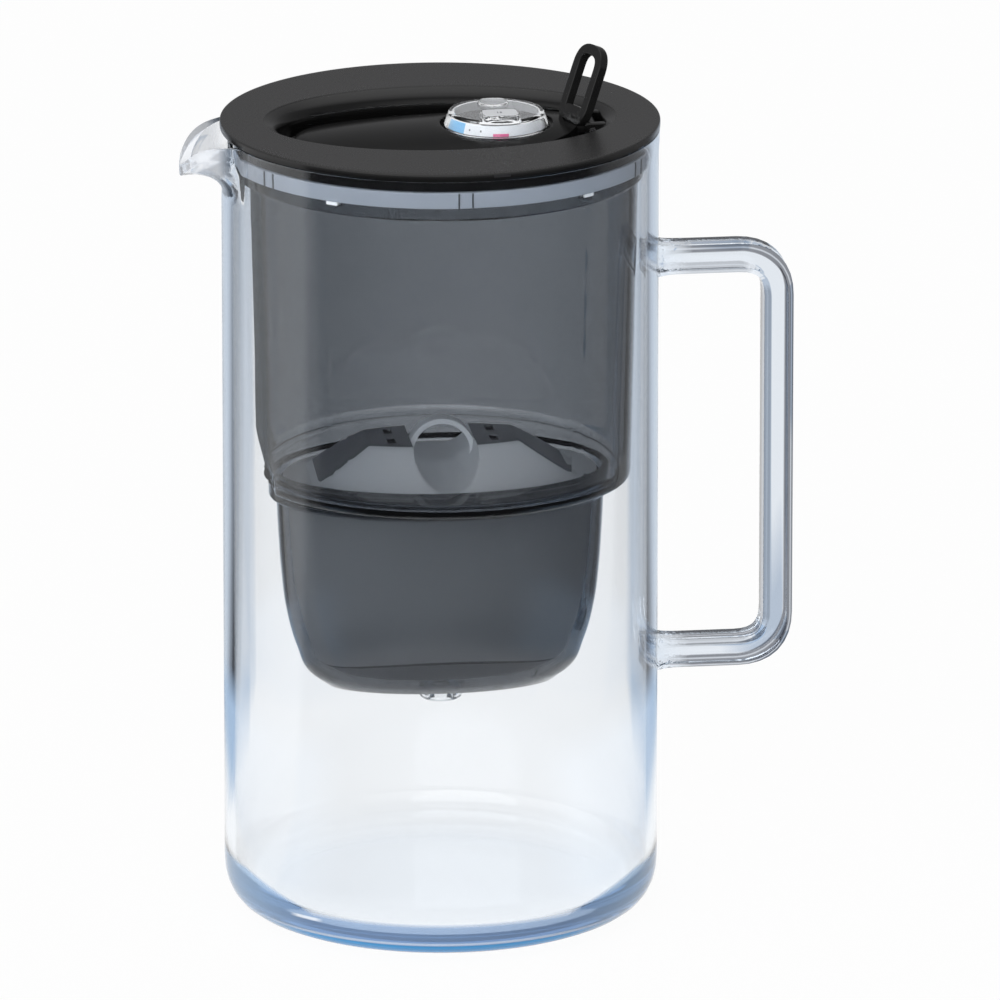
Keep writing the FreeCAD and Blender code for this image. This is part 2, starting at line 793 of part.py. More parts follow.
def crown(name, sink):
    """The flap's crown: the top of a long ellipsoid over the dial's axis."""
    return primitive(
        "Ellipsoid",
        name,
        {"Radius1": "crown_height", "Radius2": "crown_length", "Radius3": "crown_width"},
        (DIAL_X, "0", f"{FLAP_TOP} - crown_height - {sink}"),
    )


def make_flap():
    blank = oval_prism(
        "flap_blank", FLAP_HALF_LENGTH, FLAP_HALF_WIDTH,
        f"{WELL_FLOOR} + face_gap", f"{FLAP_TOP} + overrun", FLAP_MIDDLE,
    )
    flap_top = common("flap_top", blank, crown("crown_top", "0"))
    panel = cut("flap_dish", flap_top, crown("crown_under", "flap_wall"))
    socket_under = f"({SOCKET_FLOOR} - socket_floor)"
    socket_blank = cylinder(
        "socket_blank", f"{SOCKET_RADIUS} + socket_wall", f"{FLAP_TOP} - {socket_under}",
        (DIAL_X, "0", socket_under),
    )
    socket = common("socket", socket_blank, crown("crown_socket", "0"))
    arm = box(
        "arm", "arm_reach", "2 * arm_half_width", "arm_thickness",
        (f"{PIN_X} - arm_reach", "-arm_half_width", f"{ARM_TOP} - arm_thickness"),
    )
    barrel = cross_rod("barrel", "barrel_radius", "arm_half_width", PIN_X, PIN_Z)
    pocket = cylinder(
        "pocket", SOCKET_RADIUS, "socket_depth + overrun", (DIAL_X, "0", SOCKET_FLOOR)
    )
    stem_hole = cylinder(
        "stem_hole", "stem_radius + pin_fit", "socket_floor + 2 * overrun",
        (DIAL_X, "0", f"{socket_under} - overrun"),
    )
    pin_bore = cross_rod("pin_bore", "pin_radius + pin_fit", "arm_half_width + overrun", PIN_X, PIN_Z)
    solid = fuse("flap_solid", panel, socket, arm, barrel)
    keep("flap_panel", cut("flap_cut", solid, pocket, stem_hole, pin_bore))

    half = "loop_width / 2"
    eye = f"({half} - loop_limb)"
    outer_round = f"(loop_width * {LOOP_ROUND_SHARE})"
    inner_round = f"({outer_round} - loop_limb)"
    ring = padded(
        "loop_ring",
        "YZ_Plane",
        "loop_thickness",
        (
            (f"-{half}", "-loop_sink", outer_round),
            (half, "-loop_sink", outer_round),
            (half, "loop_length - loop_sink", outer_round),
            (f"-{half}", "loop_length - loop_sink", outer_round),
        ),
        (
            (f"-{eye}", "loop_limb - loop_sink", inner_round),
            (eye, "loop_limb - loop_sink", inner_round),
            (eye, "loop_length - loop_sink - loop_limb", inner_round),
            (f"-{eye}", "loop_length - loop_sink - loop_limb", inner_round),
        ),
    )
    place(ring, (f"{PIN_X} - loop_offset", "0", ARM_TOP), ("loop_turn_angle", "loop_lean_angle", "0"))
    above_arm = cut("loop_above_arm", ring, arm)
    keep("pull_loop", cut("loop_cut", above_arm, flap_top))


def make_dial():
    keep("dial_card", turned(
        "card_turned",
        ("stem_radius + fit_gap", SOCKET_FLOOR),
        ("dial_radius", SOCKET_FLOOR),
        ("dial_radius", f"{SOCKET_FLOOR} + card_thickness"),
        ("stem_radius + fit_gap", f"{SOCKET_FLOOR} + card_thickness"),
    ))
    place(nodes["dial_card"], (DIAL_X, "0", "0"))

    disc = turned(
        "dial_disc",
        ("0", f"{DIAL_UNDER} - stem_length"),
        ("stem_radius", f"{DIAL_UNDER} - stem_length"),
        ("stem_radius", DIAL_UNDER),
        ("dial_radius", DIAL_UNDER),
        ("dial_top_radius", DIAL_TOP, "dial_edge_round"),
        ("0", DIAL_TOP),
    )
    place(disc, (DIAL_X, "0", "0"))
    tab = padded(
        "dial_tab",
        "XY_Plane",
        "2 * tab_height",
        (
            ("-tab_half_width", "-dial_top_radius", "tab_round"),
            ("tab_half_width", "-dial_top_radius", "tab_round"),
            ("tab_half_width", "tab_depth - dial_top_radius", "tab_round"),
            ("-tab_half_width", "tab_depth - dial_top_radius", "tab_round"),
        ),
    )
    place(tab, (DIAL_X, "0", DIAL_TOP))
    button = cylinder(
        "dial_button", "button_radius", "2 * button_height",
        (DIAL_X, "button_offset", f"{DIAL_TOP} - button_height"),
    )
    keep("dial_knob", fuse("dial_joined", disc, tab, button))

    clip_top = f"({SOCKET_FLOOR} - socket_floor - clip_gap)"
    keep("dial_clip", turned(
        "clip_turned",
        ("stem_radius + pin_seat_fit", f"{clip_top} - clip_thickness"),
        ("clip_radius", f"{clip_top} - clip_thickness"),
        ("clip_radius", clip_top),
        ("stem_radius + pin_seat_fit", clip_top),
    ))
    place(nodes["dial_clip"], (DIAL_X, "0", "0"))


make_glass_jug()
make_glass_handle()
make_hopper_shell()
make_seal_ring()
make_outlet_nozzle()
make_cartridge()
make_cartridge_cap()
make_lid_cover()
make_flap()
make_dial()
doc.recompute()

for item in doc.Objects:
    if "Invalid" in item.State or "Error" in item.State:
        raise RuntimeError(f"{item.Name} failed: {item.State}")
for label, item in nodes.items():
    shape = item.Shape
    if shape.isNull() or not shape.isValid() or not shape.Solids:
        raise RuntimeError(f"{label} has no valid solid")

os.makedirs("parts", exist_ok=True)
for label, item in nodes.items():
    item.Shape.exportStep(f"parts/{label}.step")
    bounds = item.Shape.BoundBox
    print(
        f"{label}: {len(item.Shape.Solids)} solid, {item.Shape.Volume / 1000:.2f} cm3, "
        f"x {bounds.XMin:.1f} to {bounds.XMax:.1f}, y {bounds.YMin:.1f} to {bounds.YMax:.1f}, "
        f"z {bounds.ZMin:.1f} to {bounds.ZMax:.1f}"
    )
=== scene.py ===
# %% [markdown]
# # A water filter pitcher
#
# A glass jug with a welded glass bar handle holds a smoky hopper. An oval cartridge sits in
# the hopper's cup, and a black lid with a fill flap closes the top. Most of what shows is
# clear or see-through, so this lesson makes each clear piece as one closed skin with a real
# wall, because a ray tracer bends light only where a skin says that the material begins and
# ends.

import math

import bpy
import numpy as np
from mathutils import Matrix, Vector


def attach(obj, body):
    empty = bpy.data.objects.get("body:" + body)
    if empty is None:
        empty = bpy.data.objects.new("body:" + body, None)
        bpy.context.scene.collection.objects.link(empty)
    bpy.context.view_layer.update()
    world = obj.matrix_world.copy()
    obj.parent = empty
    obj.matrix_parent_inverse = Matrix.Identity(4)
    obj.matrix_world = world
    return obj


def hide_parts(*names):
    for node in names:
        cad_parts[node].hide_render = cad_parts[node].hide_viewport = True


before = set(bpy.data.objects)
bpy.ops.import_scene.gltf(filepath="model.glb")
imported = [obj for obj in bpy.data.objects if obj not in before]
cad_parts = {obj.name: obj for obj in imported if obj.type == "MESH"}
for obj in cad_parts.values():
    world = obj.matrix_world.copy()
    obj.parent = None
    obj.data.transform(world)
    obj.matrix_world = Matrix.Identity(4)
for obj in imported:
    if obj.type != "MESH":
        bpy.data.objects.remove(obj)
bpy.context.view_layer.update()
MM = 0.001

# %% [markdown]
# ## Tools for surfaces
#
# Nearly all pieces here are turned or moulded: a closed outline is carried round an axis or
# along a path. A modifier could spin an outline, but the cup is oval where the bucket is
# round, and the lip of the jug is pulled out of its circle. A grid of points that numpy works
# out from two parameters covers all of these in one way. Sizes are millimetres until the mesh
# is filled.

# %% Outlines with rounded corners
MOST_OF_A_RUN = 0.48


def rounded_path(corners, step, closed=False):
    """Straight runs with rounded corners. Each corner is its place and, last, a radius. Round
    a corner the path is the quadratic curve (1-u)^2 p + 2u(1-u) corner + u^2 q, where p and q
    lie one radius before and after it. Runs are then divided to the step."""
    corners = np.asarray(corners, float)
    places, radii = corners[:, :-1], corners[:, -1:]
    back = np.roll(places, 1, axis=0) - places
    ahead = np.roll(places, -1, axis=0) - places
    back_length = np.linalg.norm(back, axis=1, keepdims=True)
    ahead_length = np.linalg.norm(ahead, axis=1, keepdims=True)
    p = places + back / back_length * np.minimum(radii, MOST_OF_A_RUN * back_length)
    q = places + ahead / ahead_length * np.minimum(radii, MOST_OF_A_RUN * ahead_length)
    if not closed:
        p[0] = q[0] = places[0]
        p[-1] = q[-1] = places[-1]
    u = np.linspace(0, 1, 9)[None, :, None]
    arcs = (1 - u) ** 2 * p[:, None] + 2 * u * (1 - u) * places[:, None] + u ** 2 * q[:, None]
    points = arcs.reshape(-1, places.shape[1])
    if closed:
        points = np.vstack([points, points[:1]])
    return divided(points, step)


def divided(points, step):
    """The same path with no run longer than the step, by length along the path."""
    runs = np.linalg.norm(np.diff(points, axis=0), axis=1)
    points = points[np.concatenate([[True], runs > 1e-6])]
    runs = np.linalg.norm(np.diff(points, axis=0), axis=1)
    counts = np.maximum(1, np.ceil(runs / step)).astype(int)
    start = np.repeat(np.arange(len(runs)), counts)
    first = np.cumsum(counts) - counts
    share = (np.arange(counts.sum()) - first[start]) / counts[start]
    body = points[start] + share[:, None] * (points[start + 1] - points[start])
    return np.vstack([body, points[-1:]])


def angles(count, *extra):
    """Angles once round, with any extra ones that a feature's edges need."""
    even = np.linspace(0, 2 * np.pi, count, endpoint=False)
    return np.unique(np.round(np.concatenate([even, np.asarray(extra, float) % (2 * np.pi)]), 6))


def hoops(rings, turn, centre=0.0):
    """Ovals up a path: point(turn, s) = (centre + a(s) cos turn, b(s) sin turn, z(s))."""
    a, b, z = np.asarray(rings, float).T
    t = turn[:, None]
    return np.stack([centre + a * np.cos(t), b * np.sin(t), z + 0 * t], axis=-1)


def turned(outline, turn, centre=0.0):
    """A (radius, height) outline carried round the axis: hoops whose two halves are alike."""
    r, z = np.asarray(outline, float).T
    return hoops(np.stack([r, r, z], axis=1), turn, centre)


print("outline tools ready")

# %% Grids to meshes


def grid_faces(shape, wrap_u, wrap_v):
    """The four corners of each cell of a grid of points."""
    index = np.arange(shape[0] * shape[1]).reshape(shape)
    if wrap_u:
        index = np.vstack([index, index[:1]])
    if wrap_v:
        index = np.hstack([index, index[:, :1]])
    cells = [index[:-1, :-1], index[1:, :-1], index[1:, 1:], index[:-1, 1:]]
    return np.stack(cells, axis=-1).reshape(-1, 4)


def signed_volume(points, faces):
    """Six times the volume that the faces enclose, below zero when they point inwards."""
    a, b, c, d = (points[faces[:, k]] for k in range(4))
    return np.sum(np.cross(a, b) * c) + np.sum(np.cross(a, c) * d)


def closed_faces(points, faces):
    """Merged points, and the faces as quads and as triangles: where a seam or a pole doubles
    a corner, that corner is taken out."""
    points, merged = np.unique(np.round(points, 4), axis=0, return_inverse=True)
    faces = merged.ravel()[faces]
    if signed_volume(points, faces) < 0:
        faces = faces[:, ::-1]
    same = faces == np.roll(faces, -1, axis=1)
    one_doubled = same.sum(axis=1) == 1
    triangles = faces[one_doubled][~same[one_doubled]].reshape(-1, 3)
    return points, faces[~same.any(axis=1)], triangles


def add_piece(name, body, finish, grids, stands_for=(), crease=40):
    """One piece from closed grids, each (points, wraps round u, wraps round v)."""
    all_points, all_faces, count = [], [], 0
    for grid, wrap_u, wrap_v in grids:
        faces = grid_faces(grid.shape[:2], wrap_u, wrap_v)
        points, quads, triangles = closed_faces(grid.reshape(-1, 3), faces)
        all_points.append(points * MM)
        all_faces += (quads + count).tolist() + (triangles + count).tolist()
        count += len(points)
    mesh = bpy.data.meshes.new(name)
    mesh.from_pydata(np.vstack(all_points).tolist(), [], all_faces)
    mesh.polygons.foreach_set("use_smooth", [True] * len(mesh.polygons))
    mesh.set_sharp_from_angle(angle=math.radians(crease))
    mesh.materials.append(finish.owner)
    piece = bpy.data.objects.new(name, mesh)
    bpy.context.scene.collection.objects.link(piece)
    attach(piece, body)
    if stands_for:
        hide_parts(*stands_for)
    print(f"{name}: {len(mesh.vertices)} points, {len(mesh.polygons)} faces on {body}")


print("mesh tools ready")

# %% [markdown]
# ## Tools for finishes
#
# Shader sums are easier to read as Python than as a web of nodes. A small class wraps a number
# socket, and each operator adds one Math node. Every other node comes from one method.

# %% Shader sums


class Number:
    """A number socket that can be added, multiplied and compared in Python."""

    def __init__(self, tree, socket):
        self.tree, self.socket = tree, socket

    def math(self, operation, *values, clamp=False):
        node = self.tree.nodes.new("ShaderNodeMath")
        node.operation, node.use_clamp = operation, clamp
        for socket, value in zip(node.inputs, values):
            if isinstance(value, Number):
                self.tree.links.new(value.socket, socket)
            else:
                socket.default_value = value
        return Number(self.tree, node.outputs[0])

    def __add__(self, other):
        return self.math("ADD", self, other)

    def __sub__(self, other):
        return self.math("SUBTRACT", self, other)

    def __rsub__(self, other):
        return self.math("SUBTRACT", other, self)

    def __mul__(self, other):
        return self.math("MULTIPLY", self, other)

    def __truediv__(self, other):
        return self.math("DIVIDE", self, other)

    def __pow__(self, other):
        return self.math("POWER", self, other)

    def __gt__(self, other):
        return self.math("GREATER_THAN", self, other)

    def __lt__(self, other):
        return self.math("LESS_THAN", self, other)

    __radd__, __rmul__ = __add__, __mul__

    def clipped(self):
        """Held between 0 and 1."""
        return self.math("ADD", self, 0.0, clamp=True)

    def step(self, low, high):
        """0 below low, 1 above high, and a straight slope between."""
        return ((self - low) / (high - low)).clipped()

    def between(self, low, high):
        """1 from low to high, and 0 elsewhere."""
        return (self > low) * (self < high)

    def above(self, low):
        """How far it is above low, and 0 below."""
        return self.math("MAXIMUM", self - low, 0.0)

    def wave(self):
        """Its sine."""
        return self.math("SINE", self)

    def size(self):
        """Its distance from 0."""
        return self.math("ABSOLUTE", self)


print("shader sums ready")

# %% Finishes


class Finish:
    """A node tree around one main shader. Colours are red, green and blue."""

    def __init__(self, owner, main):
        owner.use_nodes = True
        self.owner, self.tree = owner, owner.node_tree
        self.main = self.tree.nodes[main]

    def add(self, kind, settings=None, **sockets):
        """Any node: its settings first, then the values or links of its sockets."""
        node = self.tree.nodes.new(f"ShaderNode{kind}")
        for name, value in (settings or {}).items():
            setattr(node, name, value)
        for name, value in sockets.items():
            self.feed(node.inputs[name.replace("_", " ")], value)
        return node

    def feed(self, socket, value):
        value = value.socket if isinstance(value, Number) else value
        if isinstance(value, bpy.types.NodeSocket):
            self.tree.links.new(value, socket)
        else:
            socket.default_value = (*value, 1) if socket.type == "RGBA" else value

    def number(self, socket):
        return Number(self.tree, socket)

    def set(self, **sockets):
        """Values or links on the main shader."""
        for name, value in sockets.items():
            self.feed(self.main.inputs[name.replace("_", " ")], value)

    def place(self):
        """The point's place on the object in millimetres, as x, y and z."""
        spot = self.add("TexCoord").outputs["Object"]
        parts = self.add("SeparateXYZ", Vector=spot)
        return [self.number(parts.outputs[k]) * 1000.0 for k in range(3)]

    def from_outside(self):
        """1 where a ray meets the skin from outside, and 0 from within."""
        return 1 - self.number(self.add("NewGeometry").outputs["Backfacing"])

    def noise(self, scale, detail=2.0, stretch=(1.0, 1.0, 1.0)):
        """Cloudy noise from 0 to 1, with its scale in cells per metre."""
        spot = self.add("TexCoord").outputs["Object"]
        mapped = self.add("Mapping", Vector=spot, Scale=stretch)
        cloud = self.add("TexNoise", Vector=mapped.outputs[0], Scale=scale, Detail=detail)
        return self.number(cloud.outputs[0])

    def mix(self, share, low, high):
        """A colour between two, by share."""
        node = self.add("Mix", {"data_type": "RGBA"})
        self.feed(node.inputs[0], share)
        self.feed(node.inputs[6], low)
        self.feed(node.inputs[7], high)
        return node.outputs[2]

    def clouded(self, scale, low, high):
        """A colour that wanders between two."""
        return self.mix(self.noise(scale), low, high)

    def bump(self, height, depth):
        """Small relief: a height from 0 to 1 and its depth in millimetres."""
        node = self.add("Bump", Height=height, Distance=depth * MM, Strength=1.0)
        self.set(Normal=node.outputs[0])

    def output(self, name):
        return self.tree.nodes["Material Output"].inputs[name]

    def cover(self, share, shader):
        """Another shader over the main one, by share."""
        both = self.add("MixShader", Fac=share)
        self.feed(both.inputs[1], self.main.outputs[0])
        self.feed(both.inputs[2], shader.outputs[0])
        self.feed(self.output("Surface"), both.outputs[0])


def new_finish(name, **sockets):
    finish = Finish(bpy.data.materials.new(name), "Principled BSDF")
    finish.set(**sockets)
    return finish


print("finish tools ready")

# %% [markdown]
# ## The glass
#
# The jug and its handle are one kind of glass. Looked at straight on it is nearly clear. Along
# its edge a ray runs through centimetres of it, and there it is blue grey. A tint on the skin
# would colour both alike, so this colour belongs inside the glass: an absorption that takes a
# little out of each millimetre.

# %% Clear glass
GLASS_INSIDE = dict(Color=(0.1, 0.42, 0.74), Density=13.0)


def add_absorption(finish, **values):
    """A colour that deepens with each millimetre inside the piece."""
    volume = finish.add("VolumeAbsorption", **values)
    finish.feed(finish.output("Volume"), volume.outputs[0])


def make_glass(name):
    finish = new_finish(name, Roughness=0.0, IOR=1.47, Transmission_Weight=1.0)
    add_absorption(finish, **GLASS_INSIDE)
    print("glass:", name)
    return finish


jug_glass = make_glass("jug_glass")
jug_glass.bump(jug_glass.noise(26.0, 1.0), 0.04)

# %% [markdown]
# ## Painted light in the blue foot and the pale lip
#
# In the thick foot, light runs round inside the glass: the real jug has a blue crescent below,
# a deeper band over it and a pale line between. The lip gathers light and looks milky. A path
# tracer in a plain white studio finds only part of this, so the outer skin there gets a second
# shader with painted light in its colour, mixed over the glass. The crescent and the band are
# partly the glass's own blue and partly painted light. The pale line and the milky lip are
# painted light, and a small glint low on the foot is a painted highlight. The inner wall stays
# clear, or each painted tint would show twice.

# %% Painted light on the foot and the lip
FOOT_TURN = math.radians(-7.0)
CRESCENT_TOP, BAND_TOP, BAND_RISE = 5.0, 11.0, 7.0
# Place of the painted glint, a highlight low on the foot.
GLINT_SIDEWAYS, GLINT_HEIGHT = -40.0, 10.2

x, y, z = jug_glass.place()
from_outside = jug_glass.from_outside()
radius = (x * x + y * y) ** 0.5
sideways = x * math.cos(FOOT_TURN) + y * math.sin(FOOT_TURN)
flank = sideways.size().step(38.0, 58.0)
upright = z.step(CRESCENT_TOP, CRESCENT_TOP + 1.0)
wall, heel = radius.step(61.9, 62.4), radius.step(53.0, 56.0)
outer_skin = (wall * upright + heel * (1 - upright)) * from_outside
foot = (1 - (z - flank * BAND_RISE).step(BAND_TOP, BAND_TOP + 1.5)) * outer_skin
lip = (x * -1.0).step(62.5, 68.0) * z.step(214.0, 226.0) * from_outside
# The foot's outer skin is bluer: partly the glass's own blue, partly painted light.
jug_glass.set(Base_Color=jug_glass.mix(foot, (1, 1, 1), (0.6, 0.78, 1)))

# Painted light in the foot: a blue crescent and a deeper band, partly the glass's own blue.
crescent = jug_glass.mix(flank, (0.03, 0.3, 0.62), (0.4, 0.46, 0.54))
blue_band = jug_glass.mix(flank, (0.19, 0.3, 0.5), (0.32, 0.48, 0.7))
# Painted light: a pale line between the crescent and the band.
painted_pale_line = z.step(4.7, 5.1) * (1 - z.step(5.6, 6.0)) * (0.6 - flank * 0.5)
# A painted highlight: a small glint low on the foot.
painted_glint = 1 - (z - GLINT_HEIGHT).size().step(0.3, 0.7)
painted_glint = painted_glint * (1 - (sideways - GLINT_SIDEWAYS).size().step(2.5, 5.0))
foot_and_lip_painted_light = jug_glass.mix(z.step(4.4, 5.0), crescent, blue_band)
foot_and_lip_painted_light = jug_glass.mix(painted_pale_line, foot_and_lip_painted_light, (0.8, 0.86, 0.92))
# The milky lip and the glint are painted light, mixed in at a pale colour.
foot_and_lip_painted_light = jug_glass.mix((lip + painted_glint).clipped(), foot_and_lip_painted_light, (0.86, 0.89, 0.94))
painted_light_shader = jug_glass.add("BsdfPrincipled", Base_Color=foot_and_lip_painted_light, Roughness=0.12, IOR=1.3)
jug_glass.cover(foot * (0.94 - upright * 0.27) + lip * 0.5, painted_light_shader)
print("tints on the jug's foot and lip ready")

# %% [markdown]
# ## The jug
#
# The real jug is blown in a mould, and its lip is pulled out while the rim is soft. The outline
# of the wall, with its thick base and its beaded rim, is carried round the axis. The lip is a
# smooth push of the same skin: outwards and a little down, strongest at the rim, gone a short
# way below it. Inner and outer wall move together, so the glass keeps its thickness.

# %% Jug with a drawn-out lip
JUG_OUTLINE = [
    (0, 0.0, 0),
    (65, 0.0, 15),
    (65, 233, 3),
    (65.3, 237.5, 2),
    (65.3, 240.5, 0.2),
    (61.9, 240.5, 0.2),
    (61.8, 230, 3),
    (61.8, 7.0, 11),
    (0, 7.0, 0),
]
LIP_REACH, LIP_HALF_ANGLE, LIP_DROP, DROP_ANGLE = 12.5, 18.0, 9.0, 8.2
LIP_LOW, LIP_RUN = 222.0, 15.0


def pull_lip(points):
    """Push the rim out at -X: reach * bump(angle) * r^2 (1.3 - 0.3 r), with bump
    (1 - off^2)^1.25 over the lip's angle, and r going from 0 to 1 up the lip. The rim also
    drops in the middle of the lip, as a bell curve of the angle."""
    x, y, z = np.moveaxis(points, -1, 0)
    radius = np.hypot(x, y)
    angle = np.degrees(np.arctan2(y, -x))
    bump = np.clip(1 - (angle / LIP_HALF_ANGLE) ** 2, 0, 1) ** 1.25
    rise = np.clip((z - LIP_LOW) / LIP_RUN, 0, 1)
    out = LIP_REACH * bump * rise ** 2 * (1.3 - 0.3 * rise)
    drop = LIP_DROP * np.exp(-(angle / DROP_ANGLE) ** 2) * rise ** 2
    near_wall = np.clip((radius - 30) / 25, 0, 1)
    scale = 1 + out * near_wall / np.maximum(radius, 1)
    return np.stack([x * scale, y * scale, z - drop * near_wall], axis=-1)


lip_angles = np.radians(180 + np.linspace(-24, 24, 97))
jug = pull_lip(turned(rounded_path(JUG_OUTLINE, 2.0), angles(200, *lip_angles)))
add_piece("jug", "jug", jug_glass, [(jug, True, False)], ["glass_jug"])

# %% [markdown]
# ## The handle
#
# A deep glass bar with cut edges is bent twice and welded on at both ends, where the hot glass
# spreads into a foot. A bevelled curve could give the bar, but not the feet, so the bar's
# section is carried along the bent path and swells near the wall.

# %% Handle's path and section
BAR_HALF, BAR_DEEP, BAR_CUT, BAR_SOFT = 4.4, 6.2, 1.6, 0.4
FOOT_SWELL, FOOT_RUN, WALL_RADIUS = 0.14, 2.0, 65.02
GRIP_X, ARM_HIGH, ARM_LOW, BEND, IN_WALL = 101.3, 197.9, 75.6, 12.0, 60.0


def cut_section(half_across, half_deep, cut, soft, step=0.5):
    """A closed rectangle whose four corners are cut off flat, with each edge a little rounded."""
    quarter = np.array([(half_across, half_deep - cut, soft), (half_across - cut, half_deep, soft)])
    half = np.vstack([quarter, quarter[::-1] * (-1, 1, 1)])
    return rounded_path(np.vstack([half, half * (-1, -1, 1)]), step, closed=True)[:-1]


def bent_bar(path, section):
    """The section carried along a path in the XZ plane: path + across * normal + deep * Y. Near
    the wall it swells by a falling exponential, and no point goes into the wall's circle."""
    along = np.gradient(path, axis=0)
    along /= np.linalg.norm(along, axis=1, keepdims=True)
    normal = np.stack([-along[:, 1], along[:, 0]], axis=1)
    from_wall = np.maximum(path[:, 0] - WALL_RADIUS, 0)
    swell = 1 + FOOT_SWELL * np.exp(-from_wall / FOOT_RUN)
    across = section[:, 0][None, :] * swell[:, None]
    deep = section[:, 1][None, :] * swell[:, None]
    x = path[:, :1] + normal[:, :1] * across
    z = path[:, 1:] + normal[:, 1:] * across
    wall = np.sqrt(WALL_RADIUS ** 2 - deep ** 2)
    return np.stack([np.maximum(x, wall), deep, z], axis=-1)


handle_path = rounded_path([
    (IN_WALL, ARM_HIGH, 0),
    (GRIP_X, ARM_HIGH, BEND),
    (GRIP_X, ARM_LOW, BEND),
    (IN_WALL, ARM_LOW, 0),
], 0.8)
handle_path = handle_path[handle_path[:, 0] > WALL_RADIUS - 1.4]
print("handle's path:", len(handle_path), "stations")

# %% [markdown]
# ## Painted shade on the handle's cut edges
#
# The flat cuts along the bar throw light aside, which draws dark lines on a real glass bar, the
# outer ones darker than the inner ones, each with a paler middle. Here the lines are painted
# shade in the glass's colour. The lines follow the path, so they are found from the distance to
# it: that of a point to a box with round corners.

# %% Handle glass
handle_glass = make_glass("handle_glass")
x, y, z = handle_glass.place()
weld = 1 - x.step(66.0, 75.0)
bend_x = x.above(GRIP_X - BEND)
bend_z = (z - (ARM_HIGH + ARM_LOW) / 2).size().above((ARM_HIGH - ARM_LOW) / 2 - BEND)
outward = (bend_x * bend_x + bend_z * bend_z) ** 0.5 - BEND
across, deep = outward.size(), y.size()
cut_reach = BAR_HALF + BAR_DEEP - BAR_CUT
cut_edge = (across + deep).step(cut_reach - 0.4, cut_reach - 0.1) * (1 - weld)
cut_middle = 1 - ((across - deep + BAR_DEEP - BAR_HALF).size() / 0.6).clipped()
plain = handle_glass.mix(weld, (0.94, 0.945, 0.96), (0.92, 0.94, 0.97))
# Painted shade: dark lines along the cut edges, darker on the outer ones, paler in the middle.
painted_dark_line = handle_glass.mix(outward > 0.0, (0.4, 0.405, 0.42), (0.09, 0.09, 0.1))
painted_edge_line = handle_glass.mix(cut_middle, painted_dark_line, (0.6, 0.61, 0.64))
handle_glass.set(Base_Color=handle_glass.mix(cut_edge, plain, painted_edge_line))
ripple = handle_glass.noise(380.0) * weld + handle_glass.noise(60.0, 1.0) * 0.1
handle_glass.bump(ripple, 0.6)

bar = bent_bar(handle_path, cut_section(BAR_HALF, BAR_DEEP, BAR_CUT, BAR_SOFT))
ends = [np.broadcast_to([WALL_RADIUS, 0, z], bar[:1].shape) for z in handle_path[[0, -1], 1]]
bar = np.concatenate([ends[0], bar, ends[1]])
add_piece("handle", "jug", handle_glass, [(bar, False, True)], ["glass_handle"])

# %% [markdown]
# ## The smoky plastic
#
# The hopper is moulded in a grey, see-through plastic. Its grey deepens with the thickness, as
# the glass's blue does, so it is an absorption too. The flat pour side is seen along its wall,
# and there the real one is nearly black. That dark is painted shade: the pour side's colour is
# darker, and a second, dark shader on its outer skin adds more.

# %% Smoky plastic
smoky = new_finish("smoky_plastic", Roughness=0.0, IOR=1.49, Transmission_Weight=1.0)
add_absorption(smoky, Color=(0.2, 0.23, 0.27), Density=575.0)
x, y, z = smoky.place()
pour_side = (1 - x.step(-53.0, -51.0)) * (1 - y.size().step(19.0, 23.0)) * z.step(135.0, 137.0)
tone = smoky.mix(smoky.noise(14.0, 2.0, (1, 1, 0.3)), (0.92, 0.93, 0.94), (1, 1, 1))
# Painted shade: the flat pour side is darker, in its colour and by a dark shader over it.
smoky.set(Base_Color=smoky.mix(pour_side, tone, (0.36, 0.42, 0.48)))
pour_side_painted_shade = smoky.add("BsdfPrincipled", Base_Color=(0.022, 0.03, 0.038), Roughness=0.5, IOR=1.1)
smoky.cover(pour_side * smoky.from_outside() * 0.75, pour_side_painted_shade)
print("smoky plastic:", smoky.owner.name)

# %% [markdown]
# ## The hopper
#
# The hopper is one thin moulding: a round bucket, a ledge, and an oval cup. Two spins joined by
# a Boolean could give it. Here its whole skin, outside and inside, is one closed path of ovals
# that starts and ends at the drain hole, so there is no seam to mend. The pour side is then
# pressed flat, with shallow upright flutes, and the collar is notched for the clear ring's feet.

# %% Hopper's ovals
CUP_SHARES = np.array([
    (0.0, 0.70, 0.50),
    (0.07, 0.805, 0.63),
    (0.2, 0.878, 0.78),
    (0.41, 0.945, 0.90),
    (0.6, 0.972, 0.95),
    (0.8, 0.988, 0.98),
    (1.0, 1.0, 1.0),
])
CUP_HALF_LENGTH, CUP_HALF_WIDTH, CUP_WALL = 49.2, 32.2, 1.8
CUP_LOW, CUP_HIGH, DRAIN = 69.3, 129.5, 5.0


def smooth_table(table, count):
    """A curve through a table's rows: cubic Hermite runs whose slopes are those of the
    neighbours on both sides."""
    knots = table[:, 0]
    slopes = np.gradient(table, knots, axis=0)
    at = np.linspace(knots[0], knots[-1], count)
    k = np.clip(np.searchsorted(knots, at, side="right") - 1, 0, len(knots) - 2)
    width = (knots[k + 1] - knots[k])[:, None]
    u = (at[:, None] - knots[k][:, None]) / width
    before = (1 + 2 * u) * (1 - u) ** 2 * table[k] + u * (1 - u) ** 2 * width * slopes[k]
    after = u ** 2 * (3 - 2 * u) * table[k + 1] + u ** 2 * (u - 1) * width * slopes[k + 1]
    return before + after


def cup_rings(inset, low, high, count=36):
    """The cup's ovals from its floor up, all drawn in by one inset."""
    share = smooth_table(CUP_SHARES, count)
    a = CUP_HALF_LENGTH * share[:, 1] - inset
    b = CUP_HALF_WIDTH * share[:, 2] - inset
    return np.stack([a, b, low + (high - low) * share[:, 0]], axis=1)


def oval_path(corners, step=2.5):
    """A rounded path of ovals; each corner is half length, half width, height and radius."""
    return rounded_path(corners, step)


